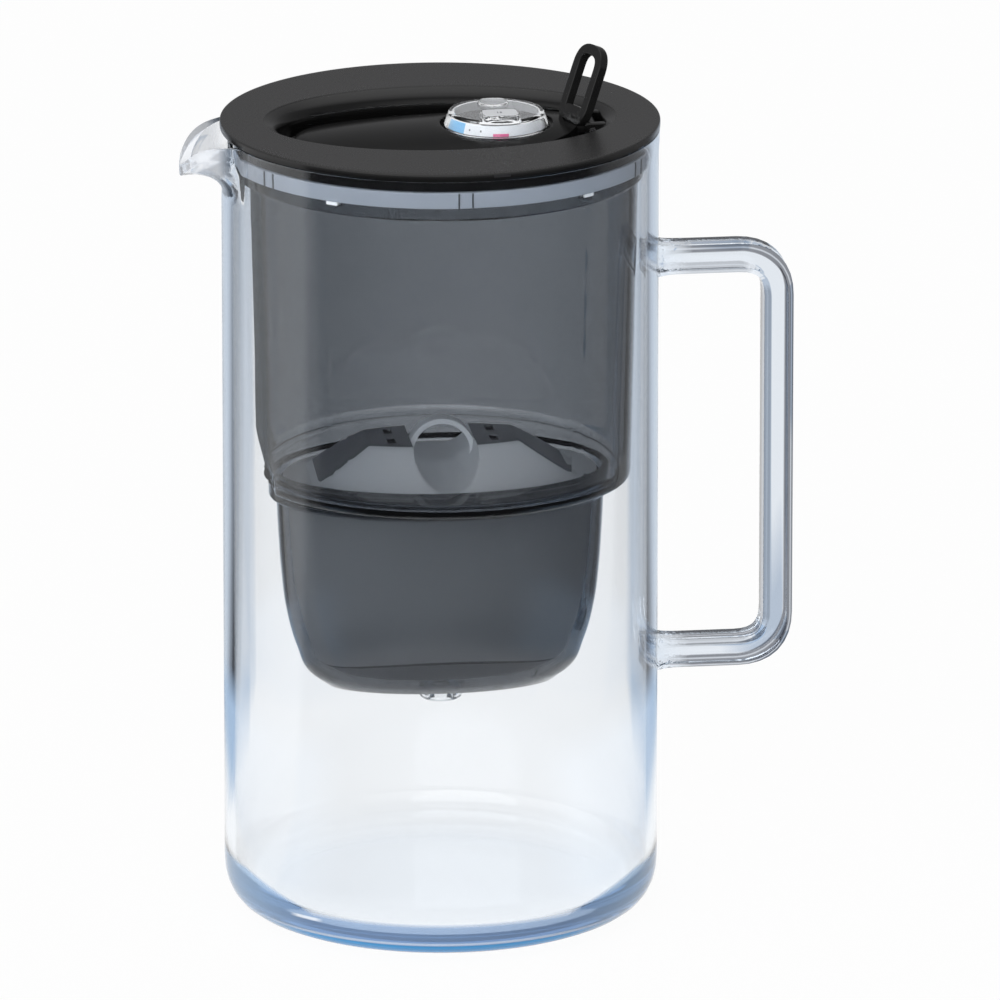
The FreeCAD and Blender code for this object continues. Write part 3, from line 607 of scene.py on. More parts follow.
cup_floor = oval_path([(DRAIN, DRAIN, CUP_LOW, 0), (33.4, 15.1, CUP_LOW, 0), (34.6, 16.4, 69.6, 0)])
outside_cup = cup_rings(0, CUP_LOW, CUP_HIGH)[2:-2]
bucket = oval_path([
    (49.2, 32.2, 127.9, 0),
    (51.4, 34.4, 128.4, 1.2),
    (51.4, 34.4, 135.0, 1.0),
    (56.8, 56.8, 135.0, 2.6),
    (58.9, 58.9, 227.4, 0.6),
    (60.3, 60.3, 228.3, 0.4),
    (60.3, 60.3, 231.7, 0.4),
    (57.3, 57.3, 231.7, 0.4),
    (57.0, 57.0, 225.0, 1.0),
    (55.0, 55.0, 136.8, 3.0),
    (49.6, 32.6, 136.8, 0.6),
    (49.6, 32.6, 129.5, 0.4),
    (47.4, 30.4, 129.5, 0.3),
    (47.4, 30.4, 129.0, 0),
])
inside_cup = cup_rings(CUP_WALL, CUP_LOW + CUP_WALL, CUP_HIGH)[::-1][2:-1]
drain_top = oval_path([(33.0, 14.6, 71.2, 0), (DRAIN, DRAIN, CUP_LOW + CUP_WALL, 0)])
rings = np.vstack([cup_floor, outside_cup, bucket, inside_cup, drain_top])
print("hopper's path:", len(rings), "ovals")

# %% Hopper shell
NOTCH_ANGLES, NOTCH_HALF, NOTCH_DEEP, COLLAR_RADIUS = (52, 128, 232, 308), 2.0, 1.4, 60.3
NOTCH_TURN = math.degrees(NOTCH_HALF / COLLAR_RADIUS)
RELIEF, FOOT_RELIEF, FLUTE, FLUTE_PITCH = 3.4, 2.2, 0.5, 7.0
CORE_SHIFT = 1.15


def flatten_pour_side(points):
    """Press the bucket's -X side flat: x goes no further than radius - relief, below the
    collar. Near the foot the relief deepens in one soft step. Upright flutes, a cosine of y,
    run down it."""
    x, y, z = np.moveaxis(points, -1, 0)
    radius = np.hypot(x, y)
    step = np.clip((143.5 - z) / 3.0, 0, 1)
    flutes = FLUTE * np.cos(y * 2 * np.pi / FLUTE_PITCH)
    relief = RELIEF + FOOT_RELIEF * step ** 2 * (3 - 2 * step) + flutes
    least = 50.4 + 0.25 * np.clip(radius - 53, 0, 4)
    limit = -np.maximum(radius - relief, least)
    on_bucket = (z > 134) & (z < 227.6) & (radius > 53)
    pressed = np.where(on_bucket & (x < limit), limit, x)
    return np.stack([pressed, y, z], axis=-1)


def cut_notches(points, turn):
    """Lower the collar's top edge over each notch."""
    off = np.degrees(turn)[:, None] - np.array(NOTCH_ANGLES)
    inside = (np.abs(off) < NOTCH_TURN).any(axis=1)[:, None]
    top = points[..., 2] > 231.0
    lowered = np.where(inside & top, points[..., 2] - NOTCH_DEEP, points[..., 2])
    return np.concatenate([points[..., :2], lowered[..., None]], axis=-1)


edge_offsets = np.outer((-1, 1), (NOTCH_TURN - 0.1, NOTCH_TURN + 0.1)).ravel()
notch_edges = np.add.outer(NOTCH_ANGLES, edge_offsets).ravel()
flat_angles = np.linspace(158, 202, 111)
hopper_turn = angles(180, *np.radians(notch_edges), *np.radians(flat_angles))
hopper = hoops(rings, hopper_turn)
# The mould's core sits a little forward: the bucket's wall is thin in front and thick behind.
top_row = len(cup_floor) + len(outside_cup) + int(np.argmax(bucket[:, 2]))
round_rows = (rings[:, 0] == rings[:, 1]) & (rings[:, 2] > 136)
hopper[..., 1] -= CORE_SHIFT * (round_rows & (np.arange(len(rings)) > top_row))
hopper = cut_notches(flatten_pour_side(hopper), hopper_turn)
add_piece("hopper", "hopper", smoky, [(hopper, True, True)], ["hopper_shell"])

# %% [markdown]
# ## The clear ring
#
# A soft, milky clear ring sits on the hopper's collar under the lid. It is a rounded square
# carried round the axis. It lets half of the light through and scatters the rest, which is what
# Transmission Weight shares out.

# %% Clear ring
silicone = new_finish("clear_silicone", IOR=1.41, Transmission_Weight=0.5)
silicone.set(Base_Color=silicone.clouded(40.0, (0.5, 0.545, 0.615), (0.56, 0.61, 0.68)))
silicone.set(Roughness=silicone.noise(300.0) * 0.04)
ring_outline = rounded_path([
    (61.5, 231.75, 0.4), (61.5, 236.7, 0.5), (59.7, 236.7, 0.5), (59.7, 231.75, 0.4),
], 1.0, True)[:-1]
ring = turned(ring_outline, angles(200))
add_piece("clear_ring", "hopper", silicone, [(ring, True, True)], ["seal_ring"])

# %% [markdown]
# ## Ribs and feet of the ring
#
# Pairs of small ribs stiffen the ring and show as dark strokes. The real ribs are clear and look
# dark from the dark lid that they bend into view; here that dark is painted shade, a dark finish
# on them. Four pale feet sit in the collar's notches. All are boxes with soft edges. A bevelled
# cube would do, but a squared-up sphere is one closed grid like everything else here.

# %% Ribs and feet
RIB_RADIUS, RIB_HEIGHT, RIB_GAP, RIB_PAIRS = 61.6, 234.2, 2.0, 6


def pillow(centre, half, turn=0.0, sharp=0.25, count=17):
    """A box with soft edges: on a sphere's angles, each sine and cosine is raised to a small
    power, which squares the sphere up. Then it is turned about Z and moved."""
    def soft(values):
        return np.sign(values) * np.abs(values) ** sharp
    u = np.linspace(-np.pi, np.pi, 2 * count - 1)[:, None]
    v = np.linspace(-np.pi / 2, np.pi / 2, count)[None, :]
    x = half[0] * soft(np.cos(v)) * soft(np.cos(u))
    y = half[1] * soft(np.cos(v)) * soft(np.sin(u))
    z = half[2] * soft(np.sin(v)) + 0 * u
    c, s = math.cos(turn), math.sin(turn)
    return np.stack([centre[0] + c * x - s * y, centre[1] + s * x + c * y, centre[2] + z], axis=-1)


def pillows_round(radius, height, half, turns, sharp=0.25):
    """Pillows on a circle, each turned to face outwards."""
    places = [(radius * math.cos(turn), radius * math.sin(turn), height) for turn in turns]
    return [(pillow(at, half, t, sharp), False, False) for at, t in zip(places, turns)]


# Painted shade: the clear ribs are drawn as dark strokes.
rib_painted_shade = new_finish("rib_painted_shade", IOR=1.41, Roughness=0.3)
rib_painted_shade.set(Base_Color=rib_painted_shade.clouded(400.0, (0.04, 0.045, 0.05), (0.08, 0.09, 0.1)))
pair_turns = np.radians(np.arange(RIB_PAIRS) * 360 / RIB_PAIRS - 90)
rib_turns = np.add.outer(pair_turns, (-RIB_GAP / RIB_RADIUS, RIB_GAP / RIB_RADIUS)).ravel()
ribs = pillows_round(RIB_RADIUS, RIB_HEIGHT, (0.14, 0.24, 2.3), rib_turns)
add_piece("ring_ribs", "hopper", rib_painted_shade, ribs)

feet_finish = new_finish("ring_feet", IOR=1.41, Roughness=0.3)
feet_finish.set(Base_Color=feet_finish.clouded(300.0, (0.9, 0.92, 0.94), (0.96, 0.97, 0.98)))
feet = pillows_round(59.9, 231.05, (0.8, 1.85, 0.55), np.radians(NOTCH_ANGLES), 0.15)
add_piece("ring_feet", "hopper", feet_finish, feet)

# %% [markdown]
# ## The drip nozzle
#
# The nozzle under the cup is a short tube of clear plastic, turned like the jug. The dial is of
# the same plastic, so its finish is made here once.

# %% Drip nozzle
clear_plastic = new_finish("clear_plastic", IOR=1.49, Transmission_Weight=1.0)
clear_plastic.set(Base_Color=(0.96, 0.975, 0.99))
clear_plastic.set(Roughness=clear_plastic.noise(150.0) * 0.02)
nozzle_outline = rounded_path([
    (3.6, 64.0, 0.3), (6.2, 64.0, 0.8), (6.7, 66.0, 0.6), (6.7, 69.25, 0.3),
    (4.7, 69.25, 0.2), (4.7, 71.1, 0.3), (3.6, 71.1, 0.3),
], 0.6, True)[:-1]
nozzle = [(turned(nozzle_outline, angles(72)), True, True)]
add_piece("nozzle", "hopper", clear_plastic, nozzle, ["outlet_nozzle"])

# %% [markdown]
# ## The cartridge's cap
#
# The cap is a ridge with two shoulders, a round groove across it and a finger ring in the
# groove. Booleans could cut it out of a block. Its top is a height over the oval, so it is worked
# out as one: the least of the shoulders' slope, the front and back slope, and the groove, with
# the places where they meet rounded off. The ridge's top and shoulders carry a dark ribbon of
# painted shade, for the faces that look up at the black lid; it is found by the same formula as
# the slopes. The slots in the ridge's top are painted black inside, as painted shade.

# %% Cap's height
CAP_A, CAP_B, CAP_FLOOR, CAP_RISE, CAP_RIM = 47.8, 30.8, 134.8, 11.0, 3.0
SHOULDER_END, SHOULDER_RUN, SIDE_SLOPE, GROOVE = 40.0, 17.5, 0.72, 9.6
SLOT_X, SLOT_Y, SLOT_HALF_X, SLOT_HALF_Y, SLOT_DEEP = 15.5, 5.2, 1.2, 2.6, 0.9


def soft_least(first, second, blend):
    """The lesser of two heights, rounded where they cross."""
    h = np.clip(0.5 + 0.5 * (second - first) / blend, 0, 1)
    return second + (first - second) * h - blend * h * (1 - h)


def cap_height(x, y):
    """Height of the cap's top above its plate: the soft least of two slopes down from the
    ridge, of the ridge's height and of the groove's circle, less the slots' depth."""
    off, deep = np.abs(x), np.abs(y)
    edge = np.sqrt(np.clip(1 - (x / (CAP_A - CAP_RIM)) ** 2, 0, 1)) * (CAP_B - CAP_RIM)
    shoulders = CAP_RISE * np.clip((SHOULDER_END - off) / SHOULDER_RUN, -0.2, 1)
    sides = (edge - deep) * SIDE_SLOPE
    ridge = soft_least(soft_least(shoulders, sides, 1.6), CAP_RISE + 0 * x, 0.8)
    groove = GROOVE - np.sqrt(np.clip(GROOVE ** 2 - x ** 2, 0, None))
    groove = groove + 40 * np.clip(off - GROOVE, 0, None)
    ridge = soft_least(ridge, groove, 1.0)
    slot = (np.abs(off - SLOT_X) < SLOT_HALF_X) & (np.abs(deep - SLOT_Y) < SLOT_HALF_Y)
    return np.maximum(ridge, 0) - SLOT_DEEP * (slot & (ridge > 9))


def finger_ring():
    """A flat ring that stands in the groove: a rounded rectangle carried round a circle in the
    XZ plane."""
    section = bar_section(0.85, 2.6, 0.4, 0.4)
    t = angles(96)[:, None]
    r = 9.35 + section[:, 0][None, :]
    return np.stack([r * np.cos(t), section[:, 1][None, :] + 0 * t, 141.0 + r * np.sin(t)], axis=-1)


def bar_section(half_across, half_deep, soft, step):
    """A closed rounded rectangle."""
    quarter = np.array([(half_across, half_deep, soft), (-half_across, half_deep, soft)])
    return rounded_path(np.vstack([quarter, quarter * (-1, -1, 1)]), step, closed=True)[:-1]


u = np.sin(np.linspace(-np.pi / 2, np.pi / 2, 261))[:, None]
v = np.linspace(-1, 1, 141)[None, :]
cap_x = CAP_A * u + 0 * v
cap_y = CAP_B * np.sqrt(np.clip(1 - u ** 2, 0, 1)) * v
cap_top = np.stack([cap_x, cap_y, CAP_FLOOR + cap_height(cap_x, cap_y)], axis=-1)
cap_under = np.stack([cap_x, cap_y, 133.5 + 0 * cap_x], axis=-1)
cap = np.concatenate([cap_top, cap_under[:, ::-1]], axis=1)
print("cap's top:", cap_top.shape[:2], "points")

# %% Cap plastic
cap_plastic = new_finish("cap_plastic", IOR=1.46, Specular_IOR_Level=0.4)
x, y, z = cap_plastic.place()
off, deep = x.size(), y.size()
oval_edge = (1 - (off / (CAP_A - CAP_RIM)) ** 2).clipped() ** 0.5 * (CAP_B - CAP_RIM)
shoulder = ((SHOULDER_END - off) / SHOULDER_RUN).clipped() * (CAP_RISE / SIDE_SLOPE)
# Painted shade: a dark ribbon on the ridge's top and shoulders, the faces that look up at the lid.
painted_shade_ribbon = (oval_edge - shoulder - deep).step(-0.2, 0.3) * (off > GROOVE + 0.1) * (z > 136.0)
# Painted shade: the slots are black inside.
slot = ((off - SLOT_X).size() < SLOT_HALF_X) * ((deep - SLOT_Y).size() < SLOT_HALF_Y) * (z > 143.5)
# The plastic's own tone, and then the painted shade mixed into it.
tone_and_painted_shade = cap_plastic.clouded(30.0, (0.84, 0.86, 0.88), (0.9, 0.92, 0.94))
tone_and_painted_shade = cap_plastic.mix(painted_shade_ribbon, tone_and_painted_shade, (0.2, 0.205, 0.22))
cap_plastic.set(Base_Color=cap_plastic.mix(slot, tone_and_painted_shade, (0.01, 0.01, 0.012)))
grain = cap_plastic.noise(900.0, 3.0) * (1 - painted_shade_ribbon)
cap_plastic.set(Roughness=grain * 0.1 + 0.32)
cap_plastic.bump(grain, 0.003)
cap_grids = [(cap, False, True), (finger_ring(), True, True)]
add_piece("cartridge_top", "cartridge", cap_plastic, cap_grids, ["cartridge_cap"])

# %% [markdown]
# ## The cartridge's body and seal
#
# The body is a plain oval cup of pale plastic that fits the hopper's cup, and shows through it
# as grey. Where the cup's floor begins, the picture has an arched edge low on the front with a
# darker band below, and both are painted on the body as painted shade. A black rubber seal runs
# round its top. Body and seal are ovals on a path, like the hopper.

# %% Cartridge body
# The arch: a dark line and a darker band below it, painted shade on the body.
ARCH_TOP, ARCH_HALF, ARCH_DROP, ARCH_LINE = 80.4, 34.0, 4.0, 0.4

pale = new_finish("pale_plastic", IOR=1.46, Specular_IOR_Level=0.4)
x, _, z = pale.place()
arch = z + (x / ARCH_HALF) ** 2.0 * ARCH_DROP - ARCH_TOP
tone_and_painted_shade = pale.clouded(30.0, (0.66, 0.655, 0.645), (0.72, 0.715, 0.705))
# Painted shade: a darker band below the arch and a dark line along it.
tone_and_painted_shade = pale.mix(arch.step(-0.2, 0.2), (0.36, 0.36, 0.37), tone_and_painted_shade)
pale.set(Base_Color=pale.mix(arch.size() < ARCH_LINE, tone_and_painted_shade, (0.04, 0.04, 0.045)))
grain = pale.noise(900.0, 3.0)
pale.set(Roughness=grain * 0.1 + 0.32)
pale.bump(grain, 0.02)
body_rings = np.vstack([
    oval_path([(0, 0, 72.9, 0), (30.4, 12.0, 72.9, 0)]),
    cup_rings(3.5, 73.0, 133.3),
    oval_path([(45.7, 28.7, 133.4, 0), (0, 0, 133.4, 0)], 6.0),
])
body = [(hoops(body_rings, angles(160)), True, False)]
add_piece("cartridge_shell", "cartridge", pale, body, ["cartridge_body"])

# %% Cartridge seal
rubber = new_finish("black_rubber", IOR=1.5, Specular_IOR_Level=0.3)
rubber.set(Base_Color=rubber.clouded(80.0, (0.012, 0.012, 0.014), (0.022, 0.022, 0.024)))
rubber.set(Roughness=rubber.noise(200.0) * 0.05 + 0.5)
seal_path = rounded_path([
    (49.3, 32.3, 129.6, 0.8),
    (49.3, 32.3, 133.5, 1.2),
    (46.2, 29.2, 133.5, 0.6),
    (46.2, 29.2, 129.6, 0.6),
], 1.0, True)[:-1]
seal = [(hoops(seal_path, angles(200)), True, True)]
add_piece("cartridge_gasket", "cartridge", rubber, seal, ["cartridge_seal"])

# %% [markdown]
# ## Three blacks
#
# The lid's flat top is satin black, moulded with a very fine grain. Its edge and its well are
# smoother, and their darker colour is painted shade. The flap in the well is a deep black that
# shines little, and the loop is glossy. With one black for all, the edges between them would be
# lost, so each has a roughness of its own and a faint cloud in its colour.

# %% Satin, deep and gloss black
black = new_finish("satin_black", IOR=1.5, Specular_IOR_Level=0.5)
grain, cloud = black.noise(2400.0), black.noise(35.0, 3.0)
below_top = 1 - black.place()[2].step(241.4, 242.7)
tone = black.mix(cloud, (0.018, 0.018, 0.018), (0.024, 0.024, 0.024))
# Painted shade: below the flat top, on the edge and in the well, the colour is darker.
black.set(Base_Color=black.mix(below_top, tone, (0.005, 0.005, 0.005)))
black.set(Roughness=cloud * 0.05 + grain * 0.05 + 0.22 - below_top * 0.14)
black.bump(grain, 0.008)

deep_black = new_finish("deep_black", IOR=1.5, Specular_IOR_Level=0.12)
cloud = deep_black.noise(35.0, 3.0)
deep_black.set(Base_Color=deep_black.mix(cloud, (0.007, 0.007, 0.007), (0.012, 0.012, 0.012)))
deep_black.set(Roughness=cloud * 0.06 + 0.12)

gloss_black = new_finish("gloss_black", IOR=1.5, Specular_IOR_Level=0.5)
cloud = gloss_black.noise(60.0)
gloss_black.set(Base_Color=gloss_black.mix(cloud, (0.006, 0.006, 0.006), (0.01, 0.01, 0.01)))
gloss_black.set(Roughness=cloud * 0.05 + 0.1)
print("blacks:", black.owner.name, deep_black.owner.name, gloss_black.owner.name)

# %% [markdown]
# ## The lid
#
# The lid is a round plate with an oval well in it, and the well's edge is a soft lip. The path
# of ovals starts round at the rim and turns oval at the lip, which a plain spin could not do.
# Two ears carry the flap's pin. A thin black pad on the rim's side is painted shade for the dark
# inside of a slot there.

# %% Lid with an oval well
lid_path = rounded_path([
    (65.4, 65.4, 240.85, 0.3),
    (65.4, 65.4, 243.0, 0.8),
    (52.6, 37.3, 243.0, 0.35),
    (52.4, 37.1, 242.7, 0.3),
    (49.0, 33.7, 241.2, 1.6),
    (47.9, 32.6, 238.6, 1.6),
    (47.8, 32.5, 234.1, 1.0),
    (38.3, 23.0, 234.1, 0.4),
    (38.3, 23.0, 232.5, 0.4),
    (49.8, 34.5, 232.5, 0.6),
    (49.8, 34.5, 240.85, 0.6),
], 1.6, True)[:-1]
lid_grids = [(hoops(lid_path, angles(240)), True, True)]
lid_grids += [
    (pillow((45.6, side * 7.2, 237.7), (3.2, 1.2, 4.2), 0, 0.2), False, False) for side in (-1, 1)
]
add_piece("lid", "lid", black, lid_grids, ["lid_cover"])
# Painted shade: a thin black pad stands for the dark inside of the rim's slot.
rim_slot_shade_pad = pillows_round(65.38, 241.95, (0.12, 2.6, 0.45), [math.radians(-80.8)], 0.2)
add_piece("lid_slot_shade", "lid", rubber, rim_slot_shade_pad)

# %% [markdown]
# ## The fill flap
#
# The flap is a crowned oval plate with a round socket for the dial. Its skin runs from the
# socket's floor up its wall, over the crown to the oval edge, and back below. A Boolean could
# sink the socket, but a skin that slides from the circle to the oval needs no cutting. The arm
# and the barrel at its end turn on the lid's pin.

# %% Crowned flap with the dial's socket
DIAL_X, SOCKET, SOCKET_FLOOR, FLAP_THICK = 16.8, 16.8, 239.0, 2.0
CROWN_LOW, CROWN_HALF = 181.6, (182.0, 72.4, 60.0)
HINGE_X, HINGE_Z, BARREL, BARREL_HALF = 44.6, 239.6, 2.0, 5.5


def crown(x, y):
    """The flap's top: the upper skin of a long, low ellipsoid over the dial's axis."""
    off = ((x - DIAL_X) / CROWN_HALF[0]) ** 2 + (y / CROWN_HALF[1]) ** 2
    return CROWN_LOW + CROWN_HALF[2] * np.sqrt(1 - off)


def flap_edge(t):
    """The flap's oval, notched at the hinge so that the arm has room."""
    x, y = -0.9 + 42.3 * np.cos(t), 28.0 * np.sin(t)
    notch = np.clip((6.6 - np.abs(y)) / 0.8, 0, 1) * (x > 0)
    return x + (np.minimum(x, 37.0) - x) * notch, y


def flap_skin(turn):
    """Stations (w, h) run out and up, then back below. The point slides from the socket's
    circle to the flap's oval by the share w, and from the floor or the underside to the crown
    by the share h. The edge is rounded off a little."""
    out = rounded_path([(-1, 0, 0), (0, 0, 0), (0, 1, 0.12), (1, 1, 0.02)], 0.04)
    back = rounded_path([(1, 0.98, 0), (1, 0.1, 0), (0.97, 0, 0), (0.12, 0, 0)], 0.04)
    w, h = np.vstack([out, back]).T[:, None, :]
    t = turn[:, None]
    circle = SOCKET * np.clip(1 + w, 0, 1)
    slide = np.clip(w, 0, 1)
    edge_x, edge_y = flap_edge(t)
    x = DIAL_X + (1 - slide) * circle * np.cos(t) + slide * (edge_x - DIAL_X)
    y = (1 - slide) * circle * np.sin(t) + slide * edge_y
    top = crown(x, y)
    first_half = np.arange(w.shape[1])[None, :] < w.shape[1] // 2
    low = np.where(first_half, SOCKET_FLOOR, top - FLAP_THICK)
    edge_round = 0.5 * np.clip((w - 0.985) / 0.015, 0, 1) ** 2 * (h > 0.9)
    return np.stack([x, y, low + (top - low) * h - edge_round], axis=-1)


turn = angles(220, *np.linspace(-0.3, 0.3, 61))
under_path = rounded_path([(18.4, 238.8, 0.2), (18.4, 237.4, 0.3), (0, 237.4, 0)], 2.0)
skin = np.concatenate([flap_skin(turn), turned(under_path, turn, DIAL_X)], axis=1)
arm = pillow((38.8, 0, 239.3), (6.4, 5.5, 1.1), 0, 0.16)
barrel_radius, barrel_y = rounded_path([
    (0, -BARREL_HALF, 0),
    (BARREL, -BARREL_HALF, 0.3),
    (BARREL, BARREL_HALF, 0.3),
    (0, BARREL_HALF, 0),
], 1.0).T
t = angles(48)[:, None]
barrel_x, barrel_z = HINGE_X + barrel_radius * np.cos(t), HINGE_Z + barrel_radius * np.sin(t)
barrel = np.stack([barrel_x, barrel_y + 0 * t, barrel_z], axis=-1)
flap_grids = [(skin, True, False), (arm, False, False), (barrel, True, False)]
add_piece("flap", "flap", deep_black, flap_grids, ["flap_panel"])

# %% [markdown]
# ## The pull loop
#
# A glossy strap in a long ring stands at the flap's end, leaned over and turned a little. A
# bevelled curve would give a round cord, and this strap has flat faces, so a rounded square is
# carried round the ring in its own plane before the whole is leaned.

# %% Pull loop
LOOP_AT, LOOP_LEAN, LOOP_TURN = (39.5, 0.0, 240.4), math.radians(20.6), math.radians(23.0)
LOOP_HALF, LOOP_LOW, LOOP_HIGH, LOOP_BEND = 5.8, -0.2, 22.2, 5.4


def leaned(thick, y, z):
    """From the loop's own plane to the lid: lean about Y, turn about Z, move to its place."""
    x = math.cos(LOOP_LEAN) * thick + math.sin(LOOP_LEAN) * z
    z = -math.sin(LOOP_LEAN) * thick + math.cos(LOOP_LEAN) * z
    c, s = math.cos(LOOP_TURN), math.sin(LOOP_TURN)
    turned_x, turned_y = c * x - s * y, s * x + c * y
    return np.stack([LOOP_AT[0] + turned_x, LOOP_AT[1] + turned_y, LOOP_AT[2] + z], axis=-1)


def loop_surface():
    """A flat-faced strap round a long ring: the section goes round a rounded rectangle in its
    own plane, and the ring then leans over and turns about Z."""
    path = rounded_path([
        (-LOOP_HALF, LOOP_LOW, LOOP_BEND),
        (LOOP_HALF, LOOP_LOW, LOOP_BEND),
        (LOOP_HALF, LOOP_HIGH, LOOP_BEND),
        (-LOOP_HALF, LOOP_HIGH, LOOP_BEND),
    ], 0.7, True)[:-1]
    along = np.roll(path, -1, axis=0) - np.roll(path, 1, axis=0)
    along /= np.linalg.norm(along, axis=1, keepdims=True)
    normal = np.stack([along[:, 1], -along[:, 0]], axis=1)
    section = bar_section(1.6, 1.4, 0.4, 0.4)
    flat = path[:, None, :] + section[None, :, :1] * normal[:, None, :]
    thick = np.broadcast_to(section[None, :, 1], flat.shape[:2])
    return leaned(thick, flat[..., 0], flat[..., 1])


loop_foot = np.moveaxis(pillow((0, 0, 1.6), (1.4, 4.6, 3.4), 0, 0.3), -1, 0)
loop_grids = [(loop_surface(), True, True), (leaned(*loop_foot), False, False)]
add_piece("loop", "flap", gloss_black, loop_grids, ["pull_loop"])

# %% [markdown]
# ## The clear dial
#
# The dial is a clear cap with a raised thumb tab and a small raised ring. It is turned like the
# jug, and its flat top is then lifted by a height that gives the tab and the ring. The cap is
# hollow, so that the band inside it shows through a real wall.

# %% Dial cap
DIAL_TOP, DIAL_LOW, DIAL_CEILING = 244.9, 240.05, 243.4
TAB_Y, TAB_HALF_X, TAB_HALF_Y, TAB_ROUND, TAB_HIGH = -8.9, 5.7, 4.6, 1.6, 1.4
DISC_Y, DISC_RADIUS, DISC_HIGH = 7.7, 4.6, 0.6


def dial_relief(x, y):
    """Height of the tab and the ring over the dial's flat top: smooth steps of the distance
    inside a rounded rectangle and inside a circle."""
    out_x = np.maximum(np.abs(x) - (TAB_HALF_X - TAB_ROUND), 0)
    out_y = np.maximum(np.abs(y - TAB_Y) - (TAB_HALF_Y - TAB_ROUND), 0)
    tab = np.clip((TAB_ROUND - np.hypot(out_x, out_y)) / 0.5, 0, 1)
    disc = np.clip((DISC_RADIUS - np.hypot(x, y - DISC_Y)) / 0.4, 0, 1)
    tab_height = TAB_HIGH * tab ** 2 * (3 - 2 * tab)
    return np.maximum(tab_height, DISC_HIGH * disc ** 2 * (3 - 2 * disc))


dial_outside = rounded_path([
    (0, DIAL_TOP, 0), (14.1, DIAL_TOP, 1.0), (15.7, DIAL_LOW, 0.3), (14.6, DIAL_LOW, 0.2),
], 0.22)
dial_inside = rounded_path([
    (14.6, DIAL_LOW, 0), (13.0, DIAL_CEILING, 0.6), (0, DIAL_CEILING, 0),
], 0.8)
dial = turned(np.vstack([dial_outside, dial_inside[1:]]), angles(300), DIAL_X)
upper_skin = (np.arange(dial.shape[1]) < len(dial_outside))[None, :] & (dial[..., 2] > 244.0)
dial[..., 2] += dial_relief(dial[..., 0] - DIAL_X, dial[..., 1]) * upper_skin
add_piece("dial", "dial", clear_plastic, [(dial, True, False)], ["dial_knob"])

# %% [markdown]
# ## The dial's print
#
# A white band inside the cap carries the print: a blue stretch, a red mark and plain ticks. They
# lie by their bearing round the dial's axis, so the arctangent of the place finds them, and no
# picture is needed. A white label with a small mark lies on the tab.

# %% Printed band
PAPER = (0.86, 0.88, 0.91)

print_finish = new_finish("dial_print", IOR=1.45, Roughness=0.45)
x, y, z = print_finish.place()
bearing = y.math("ARCTAN2", y, x - DIAL_X) * (180 / math.pi)
blue = bearing.between(-172.0, -139.0)
red = bearing.between(-101.0, -82.0) * (z < 241.0)
tick = (bearing / 7.5 * math.pi).wave() > 0.93
tick = tick * z.between(241.3, 241.8) * bearing.between(-135.0, -105.0)
paper = print_finish.mix(blue, PAPER, (0.2, 0.5, 0.8))
paper = print_finish.mix(red, paper, (0.75, 0.12, 0.3))
print_finish.set(Base_Color=print_finish.mix(tick, paper, (0.06, 0.06, 0.08)))
band_outline = [(14.2, 240.2, 0.1), (12.95, 243.2, 0.1), (12.5, 243.2, 0.1), (13.75, 240.2, 0.1)]
band = turned(rounded_path(band_outline, 0.6, True)[:-1], angles(160), DIAL_X)
add_piece("dial_band", "dial", print_finish, [(band, True, True)])

# %% Label on the tab
label_finish = new_finish("tab_label", Roughness=0.35)
x, y, _ = label_finish.place()
mark = ((x - DIAL_X).size() < 0.9) * ((y + 9.2).size() < 0.8) * ((x * 6.0).wave() > -0.2)
label_finish.set(Base_Color=label_finish.mix(mark, PAPER, (0.25, 0.26, 0.3)))
label = pillow((DIAL_X, -9.1, 246.36), (5.1, 3.7, 0.06), 0, 0.3)
add_piece("tab_label", "dial", label_finish, [(label, False, False)])

# %% [markdown]
# ## Pieces that keep their CAD shape
#
# The skirt, the pin, the screens, the bed, the card and the clip are right as they are. They
# only get a finish: a woven look for the screens, grains for the bed, a drawn steel for the pin.

# %% Finishes for the CAD nodes
mesh_finish = new_finish("screen_mesh", Roughness=0.5)
x, y, _ = mesh_finish.place()
weave = (x * 7.0).wave() * (y * 7.0).wave()
mesh_finish.set(Base_Color=mesh_finish.mix(weave.step(-0.2, 0.4), (0.2, 0.2, 0.2), (0.7, 0.7, 0.7)))
mesh_finish.bump(weave * 0.5 + 0.5, 0.1)

grains = new_finish("filter_grains", Roughness=0.75)
spot = grains.add("TexCoord").outputs["Object"]
cells = grains.add("TexVoronoi", Vector=spot, Scale=900.0)
shade = grains.number(cells.outputs["Distance"])
grains.set(Base_Color=grains.mix(shade, (0.11, 0.11, 0.12), (0.02, 0.02, 0.02)))
grains.bump(1 - shade, 0.3)

steel = new_finish("pin_steel", Metallic=1.0, Base_Color=(0.62, 0.62, 0.64))
steel.set(Roughness=steel.noise(900.0, 2.0, (1, 0.05, 1)) * 0.2 + 0.18)

card = new_finish("card_black", Roughness=0.5)
card.set(Base_Color=card.clouded(120.0, (0.02, 0.02, 0.022), (0.04, 0.04, 0.043)))

for node, finish in {
    "lid_skirt": black,
    "hinge_pin": steel,
    "inlet_screen": mesh_finish,
    "outlet_screen": mesh_finish,
    "filter_bed": grains,
    "dial_card": card,
    "dial_clip": pale,
}.items():
    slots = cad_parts[node].data.materials
    slots.clear()
    slots.append(finish.owner)
print("finished CAD nodes")

# %% [markdown]
# ## The floor
#
# The picture has a white ground and no visible floor line, so a large floor is white to the
# camera and keeps a light shadow. Glass shows what lies behind it. Rays that go straight through
# meet white lanes in four directions and blue grey between them, which draws the jug's edges.
# Rays that have mirrored off a piece meet a floor that is dark in front, as a photographer
# stands dark cards round glass. A pale floor there would lie as a veil on the black and smoky
# pieces.

# %% Lanes on the floor
AWAY = math.radians(83.0)

